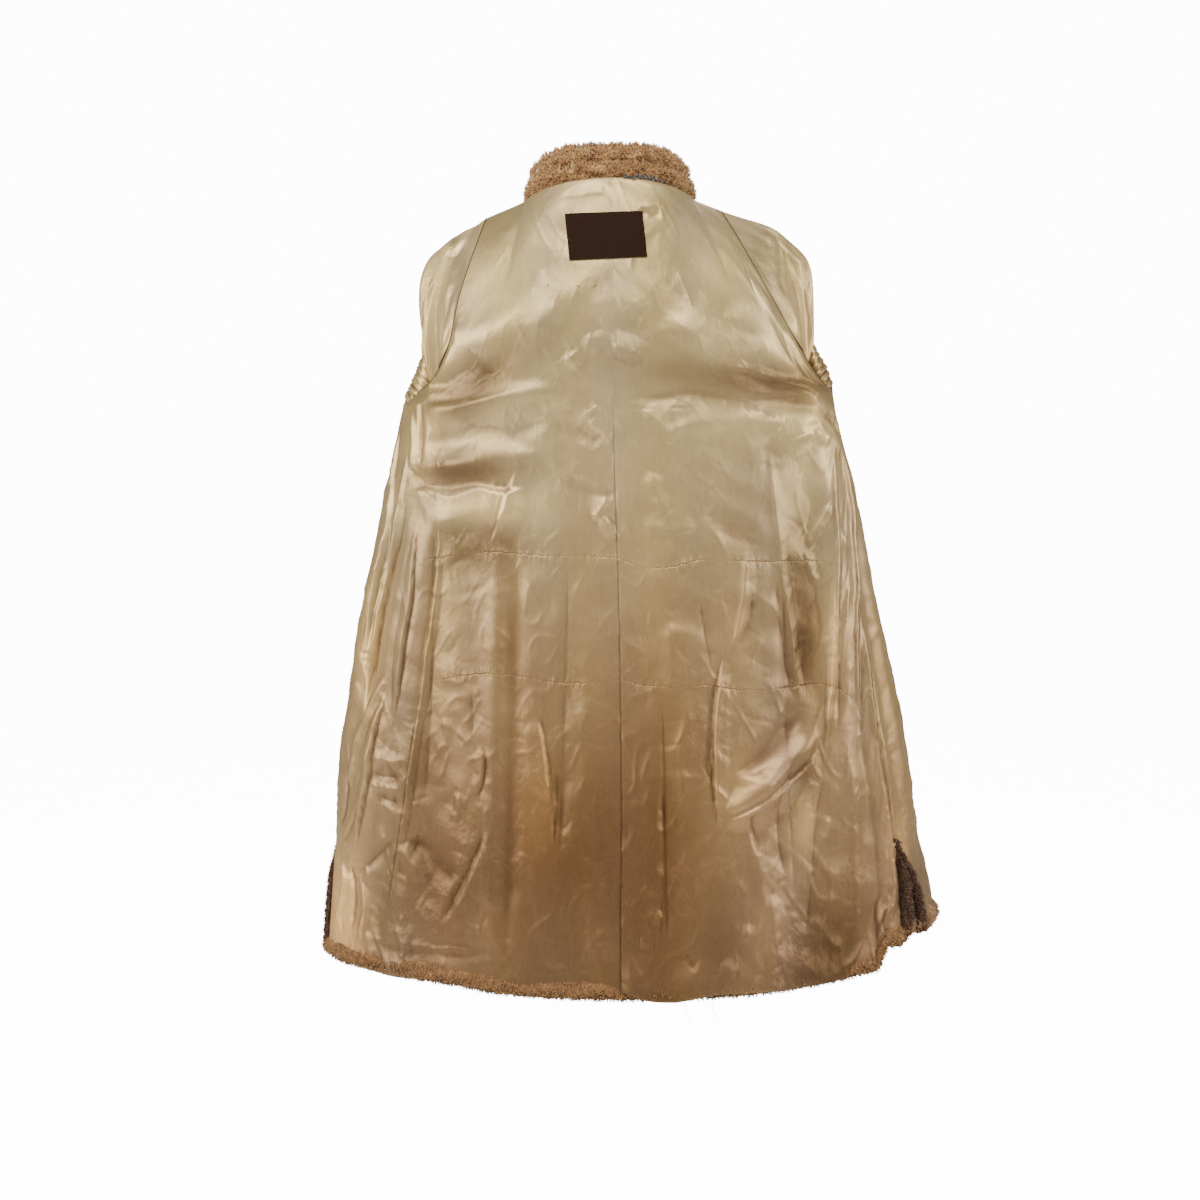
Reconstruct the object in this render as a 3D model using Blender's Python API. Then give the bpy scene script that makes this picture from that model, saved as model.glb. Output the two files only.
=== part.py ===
"""A sheared fur coat turned inside out and worn: satin lining outside, fur inside.

Metres, +Z up. The back of the coat faces -Y, its left side is at -X. The origin is at the
nape, level with the neck seam, where the shoulders carry the coat.

The body is a set of rings. Angle 0 is the centre back, +90 the right side, 180 the centre
front. Level 0 is the hem, 1 the underarm and 2 the shoulder and neck edge. Every layer is
made from the same seam surface, moved along its normal: fur inwards, lining outwards.
"""

import math

import bmesh
import bpy
import numpy as np

MM = 0.001

# Cloth and fur
FUR = 8.0 * MM              # sheared fur on its skin
SEAM_FUR = 2.5 * MM         # where it is flattened into the armhole seam
SEAM_FADE = 0.080           # over this distance it comes back to its full height
LINING = 1.2 * MM
GAP = 0.3 * MM              # between layers, and between the pieces at a seam
SEAM_HALF_GAP = 0.2 * MM

# Hem and side slits, where the fur is turned over the edge
HEM_Z_LEFT = -1.070
HEM_Z_BACK = -1.086
HEM_Z_RIGHT = -1.050
HEM_Z_FRONT = -1.060
RIGHT_HEM_LIFT = 0.022      # beside the right slit the hem is drawn up
RIGHT_HEM_LIFT_START = 57.0
RIGHT_HEM_LIFT_END = 66.0
TURN_SWELL = 6.5 * MM       # how far the turned fur stands out
TURN_EDGE = 3.0 * MM         # the same at the very edge
TURN_GROWTH = 3.0           # the swell is full in the slit's lower two thirds
SLIT_BAND_ANGLE = 6.5       # degrees of bare fur beside the slit, at the hem
SLIT_OPEN_ANGLE = 0.7       # degrees from the seam to the slit's edge, at the hem
SLIT_LEVEL = 0.19           # the slit's top, as a share of the hem-to-underarm height
FRONT_HALF_GAP = 0.035      # half of the opening down the centre front
FRONT_FIRST_ANGLE = 90.01   # just past the side, where a ring's front begins

# Side seams, in degrees from the centre back; below the underarm they swing to the back
UNDERARM_SEAM_ANGLE = 90.0
SIDE_SEAM_RIGHT = 67.0
SIDE_SEAM_LEFT = 88.0
SEAM_SWING = 0.45           # share of the height over which they do so
SEAM_INSET = 0.04           # degrees from the seam to each panel's edge
SEAM_BAND_ANGLE = 1.0       # the two narrow columns beside the seam, at the slit's top
SEAM_BAND_GROWTH = 0.15     # share of the height over which they widen again
UPPER_BAND_ANGLE = 4.6      # their width from there up

# Body sections, from the hem up: outline half widths, depths and fullness
SECTION_COLUMNS = ("z", "left", "right", "back", "front", "fullness", "centre")
SECTIONS = (
    (-1.100, 0.4020, 0.4530, 0.224, 0.205, 0.80, 0.010),
    (-1.033, 0.3990, 0.4500, 0.218, 0.200, 0.79, 0.010),
    (-0.964, 0.3930, 0.4390, 0.208, 0.193, 0.78, 0.010),
    (-0.905, 0.3880, 0.4240, 0.200, 0.186, 0.77, 0.011),
    (-0.812, 0.3830, 0.4120, 0.188, 0.177, 0.75, 0.011),
    (-0.711, 0.3680, 0.3930, 0.174, 0.166, 0.72, 0.010),
    (-0.624, 0.3560, 0.3760, 0.163, 0.156, 0.70, 0.009),
    (-0.547, 0.3410, 0.3600, 0.154, 0.148, 0.68, 0.007),
    (-0.480, 0.3260, 0.3480, 0.147, 0.140, 0.66, 0.005),
    (-0.420, 0.3140, 0.3350, 0.142, 0.134, 0.64, 0.003),
    (-0.362, 0.3000, 0.3190, 0.138, 0.129, 0.62, 0.001),
    (-0.305, 0.2890, 0.3060, 0.135, 0.125, 0.60, 0.000),
    (-0.270, 0.2850, 0.3000, 0.134, 0.123, 0.60, 0.000),
)
CENTRE_UNDERARM_Z = -0.310

# Armholes, from the underarm up to the shoulder; y is towards the back
ARMHOLE_LEFT = (
    (-0.2870, 0.000, -0.3050),
    (-0.2610, 0.056, -0.2880),
    (-0.2380, 0.083, -0.2640),
    (-0.2190, 0.091, -0.2220),
    (-0.2090, 0.085, -0.1700),
    (-0.1960, 0.066, -0.1240),
    (-0.1830, 0.036, -0.0840),
    (-0.1720, 0.000, -0.0520),
)
ARMHOLE_RIGHT = (
    (0.3000, 0.000, -0.2850),
    (0.2830, 0.052, -0.2740),
    (0.2620, 0.079, -0.2460),
    (0.2360, 0.089, -0.2030),
    (0.2110, 0.084, -0.1580),
    (0.1900, 0.064, -0.1180),
    (0.1680, 0.034, -0.0780),
    (0.1480, 0.000, -0.0420),
)

# Neck seam and the centre lines of the yoke
NECK_LEFT = (-0.117, -0.0290)
NECK_RIGHT = (0.109, -0.0270)
NECK_BACK = (0.070, 0.0000)
NECK_FRONT = (0.092, -0.0850)
NECK_POWER = 1.4            # how the seam drops from its sides to its middles
BACK_YOKE = ((0.0, 0.135, -0.310), (0.3, 0.134, -0.222), (0.55, 0.129, -0.140),
             (0.8, 0.110, -0.060), (1.0, 0.070, 0.000))
FRONT_YOKE = ((0.0, 0.125, -0.310), (0.35, 0.124, -0.230), (0.7, 0.114, -0.150),
              (1.0, 0.092, -0.085))
SHOULDER_NORMAL = (0.36, 0.0, 0.93)
YOKE_FLATTENING = 0.35      # above this part of the armhole the yoke meets it at a slant
YOKE_POWER = 2.6
TOP_BLEND_START = 0.45      # from here up the yoke turns into the shoulder and neck seams
TOP_BLEND_POWER = 1.6

# The largest folds: angle and z of both ends, half width in degrees, height off the surface
FOLD_COLUMNS = ("angle_top", "z_top", "angle_low", "z_low", "half_width", "height")
FOLDS = (
    (-52.0, -0.430, -55.0, -0.760, 10.0, 6.5 * MM),
    (-65.0, -0.420, -67.0, -0.740, 8.0, -9.0 * MM),
    (-77.0, -0.440, -79.0, -0.940, 8.0, 5.0 * MM),
    (-59.0, -0.680, -65.0, -0.960, 8.0, 7.0 * MM),
    (-52.0, -0.760, -55.0, -1.150, 8.0, -6.0 * MM),
    (-30.0, -0.560, -26.0, -1.200, 14.0, 5.0 * MM),
    (-14.0, -0.600, -10.0, -1.200, 9.0, -4.0 * MM),
    (66.0, -0.330, 44.0, -0.930, 9.0, 8.0 * MM),
    (56.0, -0.330, 32.0, -0.900, 9.0, -5.0 * MM),
    (64.0, -0.560, 55.0, -1.200, 7.0, 8.0 * MM),
    (73.0, -0.420, 72.0, -0.960, 6.0, -6.0 * MM),
    (47.0, -0.700, 18.0, -0.880, 8.0, 7.0 * MM),
    (22.0, -0.860, 24.0, -1.200, 13.0, 6.0 * MM),
    (88.0, -0.560, 90.0, -1.200, 9.0, 6.0 * MM),
    (112.0, -0.480, 108.0, -1.200, 12.0, -9.0 * MM),
    (134.0, -0.420, 130.0, -1.200, 13.0, 9.0 * MM),
    (156.0, -0.520, 153.0, -1.200, 12.0, -7.0 * MM),
    (-106.0, -0.480, -104.0, -1.200, 11.0, -9.0 * MM),
    (-128.0, -0.420, -125.0, -1.200, 13.0, 9.0 * MM),
    (-151.0, -0.540, -148.0, -1.200, 12.0, -7.0 * MM),
)
FOLD_FADE = 0.3             # share of a fold's length over which each end dies away

# Grid
NORMAL_ANGLE_STEP = 0.6     # the steps that a normal is measured over
NORMAL_LEVEL_STEP = 0.02
BACK_HALF_COLUMNS = 13
FRONT_COLUMNS = 10
SIDE_CROWDING = 1.25        # columns stand closer towards the sides
LOWER_LEVELS = (0.0, 0.0105, 0.0222, 0.072, 0.125, SLIT_LEVEL, 0.25, 0.31, 0.37, 0.435, 0.50,
                0.565, 0.63, 0.70, 0.77, 0.85, 0.93, 1.0)
YOKE_LEVELS = 9
FRONT_CROWDING = 1.1
EDGE_LEAN = 0.35            # how steeply the neck edge is thick, against its surface
HEM_ROWS = 2                # rows below the lining's edge

# Sleeves, hanging inside the body, flattened from side to side
FOLD_SHARE = 0.30           # part of the armhole, from the underarm, that folds inwards
FOLD_END = 0.50             # from here up the sleeve leaves the armhole outwards
FOLD_ANGLE = 162.0
FOLD_EDGE = 0.08            # this near the fold the wall turns round the flat sleeve's edge
LUMEN_HALF = 9.5 * MM       # from the sleeve's middle to its seam surface
SLEEVE_CENTRE = {"left": -0.2540, "right": 0.2750}
SLEEVE_BEND = 4.5           # how the flat sleeve curves with the body, per metre
SLEEVE_COLUMNS = ("outer_z", "inner_z", "half_width", "shift")
SLEEVE_RINGS = (
    (-0.375, -0.355, 0.056, 0.000),
    (-0.430, -0.415, 0.067, 0.001),
    (-0.500, -0.480, 0.077, 0.003),
    (-0.570, -0.540, 0.080, 0.005),
    (-0.640, -0.600, 0.079, 0.007),
    (-0.705, -0.655, 0.076, 0.008),
)
SLEEVE_BLEND = (0.10, 0.22, 0.40, 0.60, 0.80)
SLEEVE_BULGE = {"left": (-10.0, -20.0, -14.0, 0.0, 6.0), "right": (10.0, -4.0, -10.0, -8.0, 2.0)}
BULGE_START = 0.42          # shares of the armhole from which the bulge, in mm, grows
BULGE_END = 0.77
SLEEVE_REACH = {"left": (1.65, 2.5), "right": (1.95, 2.4)}  # how squarely it leaves the shoulder
FOLD_REACH = 0.50           # the same where the sleeve folds inwards
REACH_START = 0.28          # shares of the armhole between which the one becomes the other
REACH_END = 0.80
APEX_START = 0.50           # from here up the sleeve leaves in the apex's direction
APEX_END = 0.95

# Collar: height above the neck seam, outer and inner offset from the seam surface
COLLAR_COLUMNS = ("height", "outer", "inner")
COLLAR_ROLLS = (
    (0.00, 1.0 * MM, -15.0 * MM),
    (0.16, 3.5 * MM, -20.0 * MM),
    (0.36, 2.0 * MM, -23.0 * MM),
    (0.50, -3.5 * MM, -25.0 * MM),
    (0.66, -4.0 * MM, -28.0 * MM),
    (0.84, -10.0 * MM, -30.0 * MM),
    (1.00, -20.0 * MM, -27.0 * MM),
)
COLLAR_TOP_BACK = 0.048
COLLAR_TOP_SIDE = 0.042
COLLAR_TOP_FRONT = -0.030
COLLAR_STATIONS = 27
COLLAR_END_GAP = 0.030      # share of the neck seam left open at each front end
COLLAR_STEP = 0.004         # the share that the seam's direction is measured over

# Label
LABEL_WIDTH = 0.108
LABEL_HEIGHT = 0.063
LABEL_THICK = 1.2 * MM
LABEL_LIFT = 0.6 * MM
LABEL_X = -0.009
LABEL_Z = -0.079
LABEL_TILT = -1.5           # degrees
LABEL_CELLS = (8, 5)
SEARCH_STEPS = 24           # finding the place on the back that a label point lies over
SEARCH_LEVEL = 1.7
LEVELS_PER_METRE = 2.2
DEGREES_PER_METRE = 180.0

FUR_COLOUR = (0.38, 0.27, 0.17, 1.0)
LINING_COLOUR = (0.50, 0.41, 0.29, 1.0)
LABEL_COLOUR = (0.060, 0.032, 0.024, 1.0)


# ---------------------------------------------------------------- curves

def mix(a, b, share):
    return a + (b - a) * share


def smoothstep(value):
    share = min(max(value, 0.0), 1.0)
    return share * share * (3.0 - 2.0 * share)


def curve_through(rows, place):
    """A smooth curve through table rows whose first column rises."""
    keys = [row[0] for row in rows]
    place = min(max(place, keys[0]), keys[-1])
    index = 0
    while index < len(keys) - 2 and place > keys[index + 1]:
        index += 1
    share = (place - keys[index]) / (keys[index + 1] - keys[index])
    start = np.array(rows[index][1:])
    end = np.array(rows[index + 1][1:])
    before = np.array(rows[max(index - 1, 0)][1:])
    after = np.array(rows[min(index + 2, len(rows) - 1)][1:])
    rise_start = 0.5 * (end - before)
    rise_end = 0.5 * (after - start)
    return (start * (1 - 3 * share ** 2 + 2 * share ** 3)
            + end * (3 * share ** 2 - 2 * share ** 3)
            + rise_start * (share - 2 * share ** 2 + share ** 3)
            + rise_end * (share ** 3 - share ** 2))


def section(z):
    return dict(zip(SECTION_COLUMNS[1:], curve_through(SECTIONS, z)))


def armhole(side, share):
    """A point of the armhole seam: 0 at the underarm, 1 at the shoulder; +y to the back."""
    table = ARMHOLE_LEFT if side < 0 else ARMHOLE_RIGHT
    rows = [(index / (len(table) - 1), *row) for index, row in enumerate(table)]
    return curve_through(rows, share)


# ---------------------------------------------------------------- the body's seam surface

def hem_z(angle):
    turn = math.radians(angle)
    side = HEM_Z_LEFT if angle < 0 else HEM_Z_RIGHT
    middle = HEM_Z_BACK if abs(angle) < 90 else HEM_Z_FRONT
    drawn = smoothstep((angle - RIGHT_HEM_LIFT_START) / (RIGHT_HEM_LIFT_END - RIGHT_HEM_LIFT_START))
    lift = RIGHT_HEM_LIFT * drawn * smoothstep((180.0 - angle) / 90.0)
    return mix(side, middle, abs(math.cos(turn))) + lift


def underarm_z(angle):
    side = ARMHOLE_LEFT[0][2] if angle < 0 else ARMHOLE_RIGHT[0][2]
    return mix(side, CENTRE_UNDERARM_Z, math.cos(math.radians(angle)) ** 2)


def lower_point(angle, level):
    turn = math.radians(angle)
    z = mix(hem_z(angle), underarm_z(angle), level)
    ring = section(z)
    skin = LINING + GAP
    reach = -(ring["left"] - skin) if angle < 0 else ring["right"] - skin
    x = ring["centre"] + (reach - ring["centre"]) * abs(math.sin(turn))
    depth = -(ring["back"] - skin) if abs(angle) < 90 else ring["front"] - skin
    y = depth * abs(math.cos(turn)) ** ring["fullness"]
    return np.array((x, y, z))


def top_edge(side, across, front):
    """The shoulder seam, then the neck seam; across runs from the centre (0) to the side (1)."""
    apex = armhole(side, 1.0)
    neck_x, neck_z = NECK_LEFT if side < 0 else NECK_RIGHT
    depth, middle_z = NECK_FRONT if front else NECK_BACK
    x = apex[0] * across
    if abs(x) >= abs(neck_x):
        share = (x - neck_x) / (apex[0] - neck_x)
        return np.array((x, 0.0, mix(neck_z, apex[2], share)))
    round_share = math.sqrt(1.0 - (x / neck_x) ** 2)
    y = depth * round_share if front else -depth * round_share
    return np.array((x, y, mix(neck_z, middle_z, round_share ** NECK_POWER)))


def yoke_point(side, angle, share):
    front = abs(angle) > 90
    turn = math.radians(180 - abs(angle) if front else abs(angle))
    edge = armhole(side, share)
    edge_y = edge[1] if front else -edge[1]
    middle_y, middle_z = curve_through(FRONT_YOKE if front else BACK_YOKE, share)
    middle_y = (middle_y - LINING - GAP) * (1 if front else -1)
    ring = section(underarm_z(angle))
    flattening = smoothstep(share / YOKE_FLATTENING)
    across = mix(math.sin(turn), turn / (0.5 * math.pi), flattening)
    x = edge[0] * across
    depth_share = mix(math.cos(turn) ** ring["fullness"], 1.0 - across ** YOKE_POWER, flattening)
    y = mix(edge_y, middle_y, depth_share)
    z = mix(edge[2], middle_z, 1.0 - across ** 2)
    blend = max((share - TOP_BLEND_START) / (1.0 - TOP_BLEND_START), 0.0) ** TOP_BLEND_POWER
    return mix(np.array((x, y, z)), top_edge(side, across, front), blend)


def plain_point(angle, level, side):
    if level <= 1.0:
        return lower_point(angle, level)
    return yoke_point(side, angle, level - 1.0)


def surface_normal(angle, level, side, limits):
    """The outward normal; limits keep the differences inside one panel above the underarm."""
    low, high = limits if level > 1.0 else (-179.9, 179.9)
    left = plain_point(max(angle - NORMAL_ANGLE_STEP, low), level, side)
    right = plain_point(min(angle + NORMAL_ANGLE_STEP, high), level, side)
    below = plain_point(angle, max(level - NORMAL_LEVEL_STEP, 0.0), side)
    above = plain_point(angle, min(level + NORMAL_LEVEL_STEP, 2.0), side)
    normal = np.cross(right - left, above - below)
    return normal / np.linalg.norm(normal)


def fold_height(angle, z):
    total = 0.0
    for row in FOLDS:
        fold = dict(zip(FOLD_COLUMNS, row))
        along = (fold["z_top"] - z) / (fold["z_top"] - fold["z_low"])
        if not 0.0 < along < 1.0:
            continue
        middle = mix(fold["angle_top"], fold["angle_low"], along)
        across = abs(angle - middle) / fold["half_width"]
        if across < 1.0:
            fade = smoothstep(along / FOLD_FADE) * smoothstep((1.0 - along) / FOLD_FADE)
            total += fold["height"] * fade * math.cos(across * math.pi / 2) ** 2
    return total


def seam_angle(side, level):
    """The side seam: it swings to the back below the underarm, most on the right."""
    drop = smoothstep((1.0 - min(level, 1.0)) / SEAM_SWING)
    return mix(UNDERARM_SEAM_ANGLE, SIDE_SEAM_RIGHT if side > 0 else SIDE_SEAM_LEFT, drop)


def slit_share(level):
    """1 at the hem, 0 from the slit's top upwards."""
    return max(1.0 - level / SLIT_LEVEL, 0.0)


def edge_inset(level):
    return SEAM_INSET + SLIT_OPEN_ANGLE * slit_share(level)


def band_angle(level):
    """The width of the two columns next to the side seam, in degrees."""
    if level < SLIT_LEVEL:
        return mix(SEAM_BAND_ANGLE, SLIT_BAND_ANGLE, slit_share(level))
    growth = smoothstep((level - SLIT_LEVEL) / SEAM_BAND_GROWTH)
    return mix(SEAM_BAND_ANGLE, UPPER_BAND_ANGLE, growth)


# ---------------------------------------------------------------- panels

LEVELS = list(LOWER_LEVELS) + [1.0 + (row + 1) / YOKE_LEVELS for row in range(YOKE_LEVELS)]
SLIT_ROW = LOWER_LEVELS.index(SLIT_LEVEL)


def half_angles(side, level):
    """Angles of one back half, from the side seam to the centre back."""
    outer = seam_angle(side, level) - edge_inset(level) if level < 1.0 else UNDERARM_SEAM_ANGLE
    inner = outer - band_angle(level)
    angles = [outer, mix(outer, inner, 0.5)]
    steps = BACK_HALF_COLUMNS - 2
    for step in range(steps + 1):
        share = 1.0 - (1.0 - (steps - step) / steps) ** SIDE_CROWDING
        angles.append(inner * share)
    return [side * angle for angle in angles]


def front_angles(side, level):
    """Angles of one front, from the side seam to the centre front edge."""
    outer = seam_angle(side, level) + edge_inset(level) if level < 1.0 else FRONT_FIRST_ANGLE
    inner = outer + band_angle(level)
    ring = section(lower_point(side * 179.0, min(level, 1.0))[2])
    width = ring["left"] if side < 0 else ring["right"]
    if level > 1.0:
        width = abs(armhole(side, level - 1.0)[0])
    last = 180.0 - math.degrees(math.asin(FRONT_HALF_GAP / width))
    angles = [outer, mix(outer, inner, 0.5)]
    steps = FRONT_COLUMNS - 2
    for step in range(steps + 1):
        angles.append(mix(inner, last, (step / steps) ** FRONT_CROWDING))
    return [side * angle for angle in angles]


def panel_arrays(side, angle_rows, limits):
    """Seam surface points and thickness directions of one panel's grid."""
    points = np.zeros((len(LEVELS), len(angle_rows[0]), 3))
    normals = np.zeros_like(points)
    for row, (level, angles) in enumerate(zip(LEVELS, angle_rows)):
        for column, angle in enumerate(angles):
            point = plain_point(angle, level, side)
            normal = surface_normal(angle, level, side, limits)
            if row == len(LEVELS) - 1:
                normal = top_direction(side, angle, point, normal)
            points[row, column] = point + fold_height(angle, point[2]) * normal
            normals[row, column] = normal
    if limits[0] >= 90.0 or limits[1] <= -90.0:
        points[-1, :, 1] += SEAM_HALF_GAP
    else:
        points[-1, :, 1] -= SEAM_HALF_GAP
    return points, normals


def top_direction(side, angle, point, normal):
    """Along the shoulder seam both panels are thick in the seam's own plane."""
    neck_x = NECK_LEFT[0] if side < 0 else NECK_RIGHT[0]
    if abs(point[0]) >= abs(neck_x):
        direction = np.array(SHOULDER_NORMAL) * (side, 1, 1)
    else:
        direction = normal * (1.0, 1.0, EDGE_LEAN)
    return direction / np.linalg.norm(direction)


def faded_fur(distance):
    return SEAM_FUR + (FUR - SEAM_FUR) * smoothstep(distance / SEAM_FADE)


def fur_depths(points):
    """How far the fur reaches inwards and outwards of the seam surface, on a panel's grid."""
    columns = points.shape[1]
    first_yoke = len(LOWER_LEVELS) - 1
    armhole_edge = points[first_yoke:, 0]
    inwards = np.zeros((len(LEVELS), columns))
    for row in range(len(LEVELS)):
        for column in range(columns):
            away = np.linalg.norm(armhole_edge - points[row, column], axis=1).min()
            inwards[row, column] = faded_fur(away)
    outwards = np.zeros((len(LEVELS), columns))
    inwards[0, :] = FUR - TURN_EDGE
    outwards[0, :] = TURN_EDGE
    outwards[1, :] = TURN_SWELL
    for row in range(SLIT_ROW):
        swell = smoothstep(slit_share(LEVELS[row]) * TURN_GROWTH)
        inwards[row, 0] = FUR - TURN_EDGE * swell
        outwards[row, 0] = TURN_EDGE * swell
        outwards[row, 1] = max(TURN_SWELL * swell, outwards[row, 1])
    return inwards, outwards


def add_material(name, colour, roughness):
    material = bpy.data.materials.new(name)
    material.use_nodes = True
    shader = material.node_tree.nodes["Principled BSDF"]
    shader.inputs["Base Color"].default_value = colour
    shader.inputs["Roughness"].default_value = roughness
    shader.inputs["Metallic"].default_value = 0.0
    material.diffuse_color = colour
    return material


def add_object(name, vertices, faces, material):
    mesh = bpy.data.meshes.new(name)
    mesh.from_pydata([tuple(vertex) for vertex in vertices], [], faces)
    work = bmesh.new()
    work.from_mesh(mesh)
    loose = [vertex for vertex in work.verts if not vertex.link_faces]
    bmesh.ops.delete(work, geom=loose, context="VERTS")
    bmesh.ops.recalc_face_normals(work, faces=work.faces)
    work.to_mesh(mesh)
    work.free()
    mesh.materials.append(material)
    mesh.shade_smooth()
    mesh.set_sharp_from_angle(angle=math.radians(40))
    item = bpy.data.objects.new(name, mesh)
    coat.objects.link(item)
    return item


def add_wall(name, inner, outer, material, keep=None, closed=False):
    """A wall between two grids of points; keep says which cells the piece has."""
    rows, columns = inner.shape[:2]
    spans = columns if closed else columns - 1
    if keep is None:
        keep = np.ones((rows - 1, spans), dtype=bool)
    vertices = list(inner.reshape(-1, 3)) + list(outer.reshape(-1, 3))
    offset = rows * columns
    faces = []
    edges = {}
    for row in range(rows - 1):
        for column in range(spans):
            if not keep[row, column]:
                continue
            after = (column + 1) % columns
            corners = (row * columns + column, row * columns + after,
                       (row + 1) * columns + after, (row + 1) * columns + column)
            for triangle in (corners[:3], (corners[0], corners[2], corners[3])):
                faces.append(triangle)
                faces.append(tuple(offset + corner for corner in reversed(triangle)))
            for start, end in zip(corners, corners[1:] + corners[:1]):
                if (end, start) in edges:
                    del edges[(end, start)]
                else:
                    edges[(start, end)] = True
    for start, end in edges:
        if start < end:
            faces.append((start, offset + start, offset + end))
            faces.append((start, offset + end, end))
        else:
            faces.append((start, offset + start, end))
            faces.append((offset + start, offset + end, end))
    return add_object(name, vertices, faces, material)


def moved(points, normals, distance):
    distance = np.asarray(distance)
    if distance.ndim == 2:
        distance = distance[:, :, None]
    return points + normals * distance


def lining_cells(rows, columns):
    """The lining leaves the hem band and the slit's edge bare; column 0 is at the side."""
    keep = np.ones((rows - 1, columns - 1), dtype=bool)
    keep[:HEM_ROWS, :] = False
    keep[:SLIT_ROW, :2] = False
    return keep


def build_back(fur, lining):
    """Two lining halves, and one fur back across both."""
    halves = {}
    for name, side in (("left", -1), ("right", 1)):
        angle_rows = [half_angles(side, level) for level in LEVELS]
        limits = (0.0, 90.0) if side > 0 else (-90.0, 0.0)
        halves[name] = panel_arrays(side, angle_rows, limits)
    left_in, left_out = fur_depths(halves["left"][0])
    right_in, right_out = fur_depths(halves["right"][0])
    whole = []
    for part in range(2):
        left = halves["left"][part]
        right = halves["right"][part][:, ::-1]
        middle = 0.5 * (left[:, -1:] + right[:, :1])
        if part:
            middle = middle / np.linalg.norm(middle, axis=2, keepdims=True)
        halves["left"][part][:, -1] = middle[:, 0]
        halves["right"][part][:, -1] = middle[:, 0]
        whole.append(np.concatenate((left[:, :-1], middle, right[:, 1:]), axis=1))
    points, normals = whole
    both_in = np.concatenate((left_in, right_in[:, -2::-1]), axis=1)
    both_out = np.concatenate((left_out, right_out[:, -2::-1]), axis=1)
    add_wall("fur_back", moved(points, normals, -both_in), moved(points, normals, both_out), fur)
    for name, side in (("left", -1), ("right", 1)):
        points, normals = (array.copy() for array in halves[name])
        points[:, -1, 0] += side * SEAM_HALF_GAP
        keep = lining_cells(*points.shape[:2])
        if side > 0:
            points, normals, keep = points[:, ::-1], normals[:, ::-1], keep[:, ::-1]
        add_wall("lining_back_" + name, moved(points, normals, GAP),
                 moved(points, normals, GAP + LINING), lining, keep)
    return halves


def build_fronts(fur, lining):
    fronts = {}
    for name, side in (("left", -1), ("right", 1)):
        angle_rows = [front_angles(side, level) for level in LEVELS]
        first = FRONT_FIRST_ANGLE
        limits = (first, 179.9) if side > 0 else (-179.9, -first)
        points, normals = panel_arrays(side, angle_rows, limits)
        inwards, outwards = fur_depths(points)
        add_wall("fur_front_" + name, moved(points, normals, -inwards),
                 moved(points, normals, outwards), fur)
        keep = lining_cells(*points.shape[:2])
        add_wall("lining_front_" + name, moved(points, normals, GAP),
                 moved(points, normals, GAP + LINING), lining, keep)
        fronts[name] = (points, normals)
    return fronts


# ---------------------------------------------------------------- sleeves

def mouth_ring(back, front):
    """The armhole edge, underarm to shoulder by the back, and down again by the front."""
    first = len(LOWER_LEVELS) - 1
    rows = []
    last = len(LEVELS) - 1
    for row in range(first, last + 1):
        rows.append((row, back, -1))
    for row in range(last - 1, first, -1):
        rows.append((row, front, 1))
    points = np.array([panel[0][row, 0] for row, panel, sign in rows])
    normals = np.array([panel[1][row, 0] for row, panel, sign in rows])
    inside = np.array([panel[0][row, 2] for row, panel, sign in rows])
    inside[0] = back[0][first - 1, 0]
    points[0] = 0.5 * (back[0][first, 0] + front[0][first, 0])
    points[YOKE_LEVELS] = 0.5 * (back[0][last, 0] + front[0][last, 0])
    along = np.roll(points, -1, axis=0) - np.roll(points, 1, axis=0)
    away = np.cross(along, normals)
    away /= np.linalg.norm(away, axis=1, keepdims=True)
    for index in range(len(points)):
        if np.dot(away[index], points[index] - inside[index]) < 0:
            away[index] = -away[index]
    shares = [(row - first) / YOKE_LEVELS for row, panel, sign in rows]
    signs = [sign for row, panel, sign in rows]
    return points, normals, away, shares, signs


def flat_ring(side_name, side, row, shares, signs):
    """One ring of the hanging sleeve, flattened from side to side."""
    ring = dict(zip(SLEEVE_COLUMNS, row))
    points = []
    for share, sign in zip(shares, signs):
        if share < FOLD_SHARE:
            turn = 0.5 * math.pi * share / FOLD_SHARE
        else:
            turn = 0.5 * math.pi * (1.0 + (share - FOLD_SHARE) / (1.0 - FOLD_SHARE))
        y = sign * ring["half_width"] * math.sin(turn)
        bulge = math.sqrt(max(1.0 - abs(math.sin(turn)) ** 6, 0.0))
        outward = LUMEN_HALF * bulge * (1 if turn < 0.5 * math.pi else -1)
        middle = abs(SLEEVE_CENTRE[side_name]) + ring["shift"] - SLEEVE_BEND * y * y
        z = mix(ring["outer_z"], ring["inner_z"], turn / math.pi)
        points.append((side * (middle + outward), y, z))
    return np.array(points)


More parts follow.
